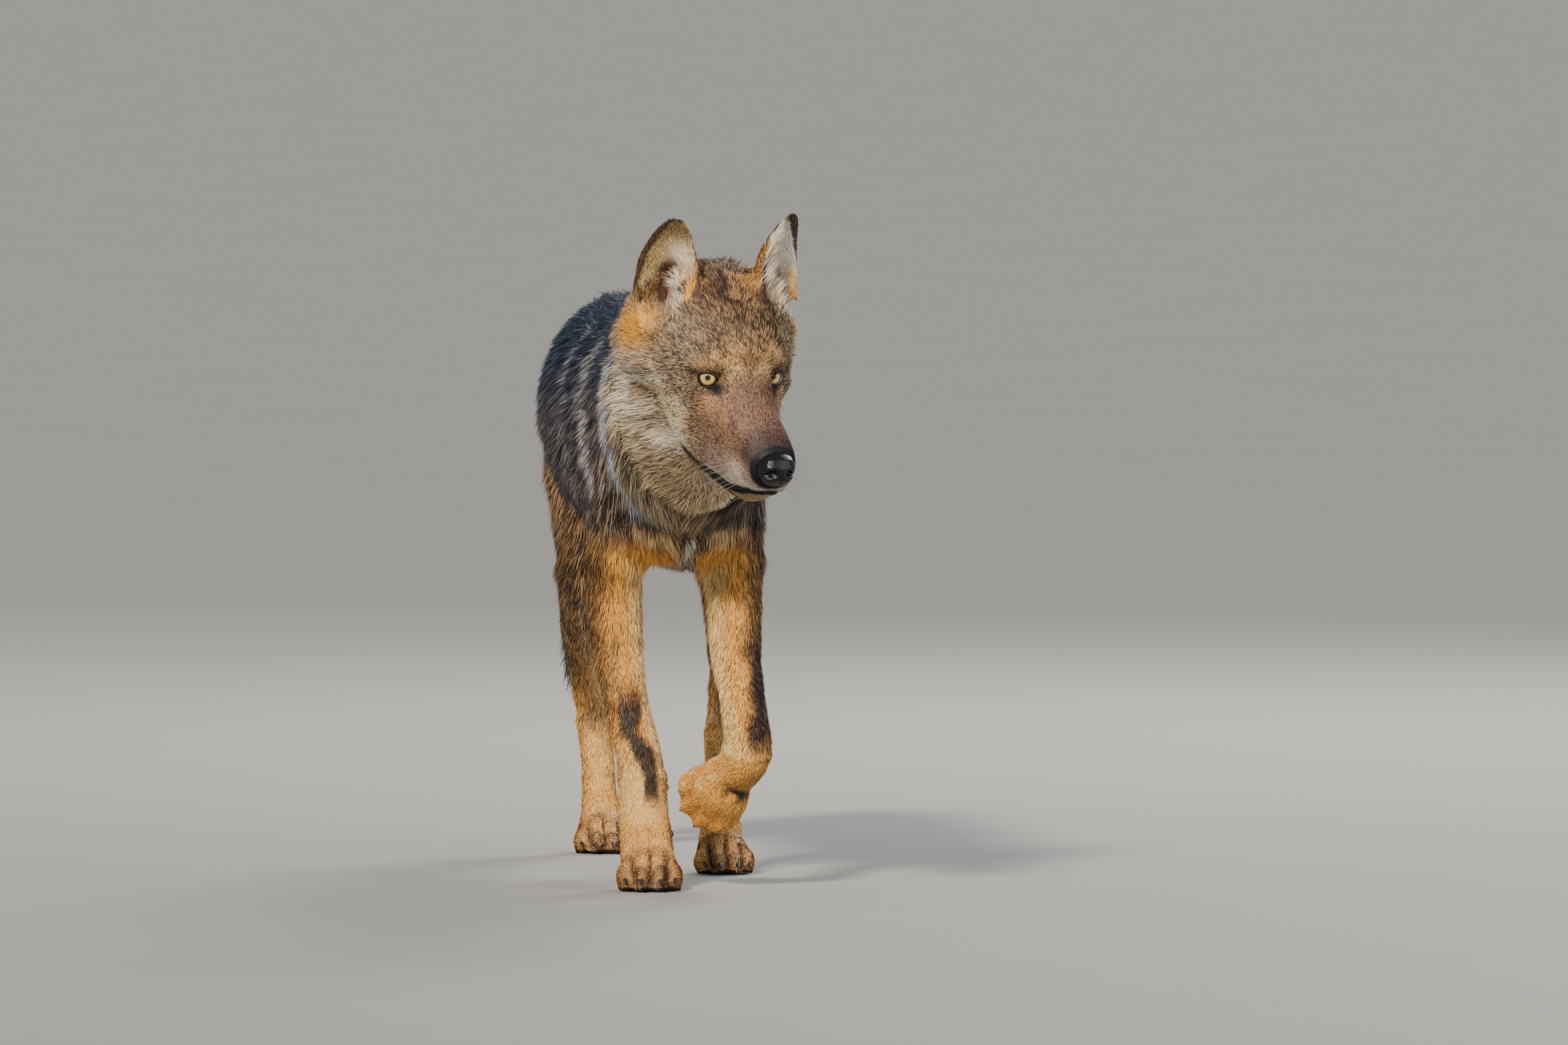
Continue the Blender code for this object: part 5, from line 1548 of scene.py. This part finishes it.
def build_nose():
    """The nose leather: broad rounded pad, comma nostrils that open to the sides, a cleft."""
    bm = bmesh.new()
    bmesh.ops.create_cube(bm, size=2.0)
    bmesh.ops.subdivide_edges(bm, edges=bm.edges, cuts=23, use_grid_fill=True)
    points = np.array([vert.co[:] for vert in bm.verts])
    ball = unit(points) * np.abs(points).max(axis=1)[:, None]
    shape = points * 0.22 + ball * 0.78
    x, y, z = shape.T
    wide = 0.0222 * (1 - 0.16 * ramp(0.0, -1.0, z) - 0.10 * ramp(0.4, 1.0, z))
    spots = np.c_[x * wide, y * 0.0158, z * 0.0188]
    spots[:, 1] += 0.0035 * ramp(0.1, 1.0, z) + 0.0030 * ramp(-0.3, -1.0, z)
    spots[:, 1] += 0.0045 * ramp(0.4, 1.0, np.abs(x))
    front = ramp(0.2, -0.4, y)
    for hand in (LEFT, RIGHT):
        hole = bump_at(spots, (hand * 0.0100, -0.0150, -0.0005), (0.0043, 0.012, 0.0034))
        slit = bump_at(spots, (hand * 0.0165, -0.0110, -0.0035), (0.0050, 0.012, 0.0016))
        wing = bump_at(spots, (hand * 0.0150, -0.0120, 0.0050), (0.0055, 0.012, 0.0035))
        lower = bump_at(spots, (hand * 0.0125, -0.0130, -0.0085), (0.0055, 0.012, 0.0035))
        spots[:, 1] += front * (hole * 0.0085 + slit * 0.0050 - wing * 0.0014 - lower * 0.0012)
    cleft = np.exp(-((spots[:, 0] / 0.0011) ** 2)) * ramp(0.006, -0.006, spots[:, 2])
    spots[:, 1] += front * cleft * 0.0016
    for vert, spot in zip(bm.verts, spots):
        vert.co = spot
    bmesh.ops.smooth_vert(bm, verts=bm.verts, factor=0.5)
    lean = Matrix.Rotation(math.radians(-12), 4, "X")
    return placed(bm, HEAD @ Matrix.Translation((0.002, -0.1185, -0.0412)) @ lean)


def swept_tube(bm, path, radii, sides):
    """A closed tube along a path with its own radius at each point."""
    rings = []
    for i, point in enumerate(path):
        along = path[min(i + 1, len(path) - 1)] - path[max(i - 1, 0)]
        turn = along.to_track_quat("Z", "Y").to_matrix()
        ring = []
        for j in range(sides):
            angle = 2 * math.pi * j / sides
            offset = turn @ Vector((math.cos(angle), math.sin(angle), 0)) * radii[i]
            ring.append(bm.verts.new(point + offset))
        rings.append(ring)
    bridge(bm, rings)
    bm.faces.new(rings[0][::-1])
    bm.faces.new(rings[-1])


def build_lips():
    """The thin black edge of the lips, lying in the groove of the skin from corner to corner."""
    on_skin = skin_finder()
    half = lip_points(5)
    path = []
    for spot in np.concatenate([half[::-1] * (-1, 1, 1), half[1:]]):
        hit, normal = on_skin(spot)
        path.append(hit - normal * 0.0008)
    for _ in range(2):
        inner = [(a + b * 2 + c) / 4 for a, b, c in zip(path, path[1:], path[2:])]
        path = [path[0], *inner, path[-1]]
    last = len(path) - 1
    radii = [0.0026 * min(1.0, 0.30 + 0.70 * (min(i, last - i) / 8)) for i in range(last + 1)]
    bm = bmesh.new()
    swept_tube(bm, path, radii, 10)
    return placed(bm, Matrix())


def build_whiskers(rng):
    """Stiff tapering hairs from the sides of the muzzle, the brows and the chin."""
    on_skin = skin_finder()
    bm = bmesh.new()
    places = [  # root, length, and how far it stands out from the skin
        ((0.024, -0.095 + column * 0.008, -0.056 - row * 0.008), 0.040, 0.9)
        for row in range(3) for column in range(5)
    ]
    places += [((0.034, -0.004, 0.020), 0.026, 0.3), ((0.030, -0.002, 0.021), 0.024, 0.3)]
    places += [((0.008, -0.100, -0.094), 0.022, 0.2), ((0.012, -0.090, -0.094), 0.024, 0.2)]
    for hand in (LEFT, RIGHT):
        for spot, length, out in places:
            jitter = rng.normal(0, 0.0012, 3)
            hit, normal = on_skin(Vector((spot[0] * hand, spot[1], spot[2])) + Vector(jitter))
            backward = HEAD.to_3x3() @ Vector((hand * 0.25, 0.55, -0.40))
            heading = (normal * out + backward * (1.1 - out * 0.5)).normalized()
            reach = length * rng.uniform(0.7, 1.15)
            path, radii = [], []
            for i in range(7):
                t = i / 6
                sag = Vector((0, 0, -1)) * (reach * 0.22 * t * t)
                path.append(hit + heading * (reach * t) + sag)
                radii.append(0.00022 * (1 - t) + 0.00004)
            swept_tube(bm, path, radii, 5)
    return placed(bm, Matrix())


def build_claws():
    """Every claw's solid, rounded and joined."""
    bm = joined(CLAWS)
    bmesh.ops.subdivide_edges(bm, edges=bm.edges, cuts=2, smooth=0.6, use_grid_fill=True)
    bmesh.ops.smooth_vert(bm, verts=bm.verts, factor=0.4)
    return bm


# ------------------------------------------------------------ settings


class WolfCoatSettings(bpy.types.PropertyGroup):
    hairs: IntProperty(
        name="Hairs", description="How many hairs are laid over the skin", default=745000
    )
    seed: IntProperty(name="Seed", description="Start of the random draws", default=11)
    voxel: FloatProperty(
        name="Skin Detail", description="Grid size of the skin", default=0.0038, unit="LENGTH"
    )
    clump: FloatProperty(
        name="Clump", description="Size of a lock of hair", default=0.009, unit="LENGTH"
    )
    roughness: FloatProperty(
        name="Roughness", description="Dullness of the hair", default=0.55, subtype="FACTOR"
    )


class WolfFaceSettings(bpy.types.PropertyGroup):
    radius: FloatProperty(
        name="Eye Radius", description="Radius of an eyeball", default=EYE_RADIUS, unit="LENGTH"
    )
    pupil: FloatProperty(
        name="Pupil", description="Share of the iris map that is pupil", default=0.175
    )
    iris_colour: FloatVectorProperty(
        name="Iris", description="Amber of the iris", default=(0.74, 0.46, 0.10), subtype="COLOR"
    )
    nose_colour: FloatVectorProperty(
        name="Nose", description="Colour of the nose leather", default=(0.005, 0.0045, 0.007),
        subtype="COLOR",
    )
    claw_colour: FloatVectorProperty(
        name="Claws", description="Colour of the horn", default=(0.040, 0.032, 0.028),
        subtype="COLOR",
    )


class WolfStageSettings(bpy.types.PropertyGroup):
    floor_colour: FloatVectorProperty(
        name="Floor", description="Colour of the floor", default=(0.37, 0.365, 0.355), subtype="COLOR"
    )
    key: FloatProperty(name="Key Light", description="Strength of the key light", default=4.5)
    fill_power: FloatProperty(name="Fill Light", description="Power of the fill", default=90.0)
    sky: FloatProperty(name="Sky", description="Strength of the surrounding light", default=0.36)
    distance: FloatProperty(
        name="Camera Distance", description="From the forefoot", default=25.0, unit="LENGTH"
    )
    side_turn: FloatProperty(
        name="Camera Turn", description="Round to the wolf's left", default=math.radians(-5),
        subtype="ANGLE",
    )
    rise: FloatProperty(
        name="Camera Rise", description="Above level", default=math.radians(2.3), subtype="ANGLE"
    )
    view_width: FloatProperty(
        name="View Width", description="Width of the view at the wolf", default=1.7043,
        unit="LENGTH",
    )


# ------------------------------------------------------------ operators


class WOLF_OT_skin(bpy.types.Operator):
    """Draws one skin in under the solids by the depth of the coat."""

    bl_idname = "wolf.skin"
    bl_label = "Skin"

    def execute(self, context):
        mesh = build_skin(context.scene.wolf_coat.voxel)
        mesh.materials.append(surface("skin_wool", 0.85, (900.0, 0.5), 0.4))
        SKIN.obj = new_piece("skin", mesh, FLESH)
        return {"FINISHED"}


class WOLF_OT_eyes(bpy.types.Operator):
    """Makes the eyeballs and the dark rims of the lids."""

    bl_idname = "wolf.eyes"
    bl_label = "Eyes"

    def execute(self, context):
        settings = context.scene.wolf_face
        iris = eye_material(settings)
        rim = surface("lid_rim", 0.38, (1500.0, 0.3), 0.3)
        for side, word in ((LEFT, "left"), (RIGHT, "right")):
            eye, lids = build_eye(side, settings), build_lids(side, settings)
            add_piece("eyeball_" + word, eye, iris, ("eye_" + word,))
            add_piece("lids_" + word, lids, rim)
        return {"FINISHED"}


class WOLF_OT_muzzle(bpy.types.Operator):
    """Makes the nose leather, the edge of the lips and the whiskers."""

    bl_idname = "wolf.muzzle"
    bl_label = "Nose, Lips and Whiskers"

    def execute(self, context):
        colour = context.scene.wolf_face.nose_colour
        leather = surface("nose_leather", 0.24, (1100.0, 0.5), 0.6, colour=colour, coat=0.05)
        add_piece("nose_pad", build_nose(), leather, ("nose",))
        skin = surface("lip_skin", 0.45, (800.0, 0.4), 0.4, colour=(0.016, 0.012, 0.014))
        add_piece("lips", build_lips(), skin)
        hair = surface("whisker", 0.35, (500.0, 0.2), 0.1, colour=(0.30, 0.27, 0.24))
        add_piece("whiskers", build_whiskers(np.random.default_rng(5)), hair)
        return {"FINISHED"}


class WOLF_OT_claws(bpy.types.Operator):
    """Rounds the claws and gives them horn."""

    bl_idname = "wolf.claws"
    bl_label = "Claws"

    def execute(self, context):
        colour = context.scene.wolf_face.claw_colour
        horn = surface("claw_horn", 0.38, (300.0, 0.6), 0.5, colour=colour)
        add_piece("claws", build_claws(), horn, CLAWS)
        return {"FINISHED"}


class WOLF_OT_coat(bpy.types.Operator):
    """Lays the hairs over the skin, a piece for each part of the body."""

    bl_idname = "wolf.coat"
    bl_label = "Coat"

    def execute(self, context):
        settings = context.scene.wolf_coat
        rng = np.random.default_rng(settings.seed)
        roots = with_tufts(sample_roots(thinned(settings.hairs), rng), rng)
        keep = ~bald(roots)
        roots = {name: values[keep] for name, values in roots.items()}
        # A lock is about a third as wide as its hairs are long, in steps of 1.5 mm
        clump = np.clip(roots["length"] * 0.32, 0.0022, settings.clump)
        clump = np.round(clump / 0.0015) * 0.0015
        *hairs, group = lay_hairs(roots, rng, clump)
        colours = hair_colours(roots, group, rng)
        material = surface("coat_hair", settings.roughness, (700.0, 0.25), 0.0)
        order = rng.integers(0, 1 << 30, len(roots["at"]))
        for name, (slot, parts) in COAT_PIECES.items():
            wanted = in_parts(roots["label"], *parts)
            pieces = max(1, math.ceil(int(wanted.sum()) * 2 / MOST_TRIANGLES))
            for number in range(pieces):
                chosen = np.nonzero(wanted & (order % pieces == number))[0]
                title = f"{name}_{number + 1}"
                mesh = coat_piece(title, parts, hairs, colours, roots, chosen)
                mesh.materials.append(material)
                new_piece(title, mesh)
        return {"FINISHED"}


class WOLF_OT_stage(bpy.types.Operator):
    """Sets the pale floor, the soft lights and the camera."""

    bl_idname = "wolf.stage"
    bl_label = "Stage"

    def execute(self, context):
        settings = context.scene.wolf_stage
        scene = context.scene
        bm = bmesh.new()
        bmesh.ops.create_circle(bm, cap_ends=True, segments=96, radius=60.0)
        mesh = mesh_from(bm, "floor", smooth=False)
        mesh.materials.append(
            surface("floor_paint", 0.85, (3.0, 0.03), 0.05, colour=settings.floor_colour)
        )
        floor = bpy.data.objects.new("floor", mesh)
        scene.collection.objects.link(floor)
        world = bpy.data.worlds.new("studio")
        world.use_nodes = True
        sky = world.node_tree.nodes["Background"]
        sky.inputs["Color"].default_value = (0.80, 0.90, 1.0, 1.0)
        sky.inputs["Strength"].default_value = settings.sky
        scene.world = world
        power = settings.fill_power
        add_light("SUN", "key", (-1.7, -4.1, 3.0), math.radians(7), settings.key, (1.0, 0.91, 0.77))
        add_light("AREA", "fill", (3.8, -3.2, 2.0), 2.6, power, (0.90, 0.95, 1.0))
        add_light("AREA", "rim", (2.0, 4.0, 3.2), 2.0, power * 2, (1.0, 0.97, 0.9))
        scene.camera = add_camera(settings)
        return {"FINISHED"}


def add_light(kind, name, place, size, strength, colour):
    """A sun or a round lamp, turned to the middle of the wolf."""
    light = bpy.data.lights.new(name, kind)
    if kind == "SUN":
        light.angle = size
    else:
        light.shape = "DISK"
        light.size = size
    light.energy = strength
    light.color = colour
    obj = bpy.data.objects.new(name, light)
    bpy.context.scene.collection.objects.link(obj)
    obj.location = place
    toward_wolf = Vector((0, -0.1, 0.4)) - Vector(place)
    obj.rotation_euler = toward_wolf.to_track_quat("-Z", "Y").to_euler()


VIEW_MIDDLE = (0.1116, 0.3986)  # right of the body's frame and up, as the camera sees it
SENSOR_WIDTH = 36.0


def add_camera(settings):
    """Looks through a long lens at a point set from the standing forefoot."""
    turn, rise = settings.side_turn, settings.rise
    back = Vector((
        math.sin(turn) * math.cos(rise), -math.cos(turn) * math.cos(rise), math.sin(rise)
    ))
    right = Vector((math.cos(turn), math.sin(turn), 0))
    upward = back.cross(right)
    data = bpy.data.cameras.new("camera")
    data.sensor_width = SENSOR_WIDTH
    data.lens = SENSOR_WIDTH * settings.distance / settings.view_width
    data.clip_end = 200.0
    camera = bpy.data.objects.new("camera", data)
    bpy.context.scene.collection.objects.link(camera)
    target = BODY_AT + right * VIEW_MIDDLE[0] + upward * VIEW_MIDDLE[1]
    camera.location = target + back * settings.distance
    camera.rotation_euler = (-back).to_track_quat("-Z", "Y").to_euler()
    return camera


class WOLF_PT_panel(bpy.types.Panel):
    """Lists the wolf's settings and steps."""

    bl_idname = "WOLF_PT_panel"
    bl_label = "Walking Wolf"
    bl_space_type = "VIEW_3D"
    bl_region_type = "UI"
    bl_category = "Wolf"

    def draw(self, context):
        for group in ("wolf_coat", "wolf_face", "wolf_stage"):
            box = self.layout.box()
            settings = getattr(context.scene, group)
            for name in type(settings).__annotations__:
                box.prop(settings, name)
        for operator in STEPS:
            self.layout.operator(operator.bl_idname)


STEPS = (WOLF_OT_stage, WOLF_OT_skin, WOLF_OT_eyes, WOLF_OT_muzzle, WOLF_OT_claws, WOLF_OT_coat)
GROUPS = {
    "wolf_coat": WolfCoatSettings,
    "wolf_face": WolfFaceSettings,
    "wolf_stage": WolfStageSettings,
}


def register():
    for cls in (*GROUPS.values(), *STEPS, WOLF_PT_panel):
        bpy.utils.register_class(cls)
    for name, cls in GROUPS.items():
        setattr(bpy.types.Scene, name, PointerProperty(type=cls))


def unregister():
    for name in GROUPS:
        delattr(bpy.types.Scene, name)
    for cls in (WOLF_PT_panel, *reversed(STEPS), *reversed(tuple(GROUPS.values()))):
        bpy.utils.unregister_class(cls)


def main():
    register()
    for step in STEPS:
        area, name = step.bl_idname.split(".")
        getattr(getattr(bpy.ops, area), name)()


if __name__ == "__main__":
    main()
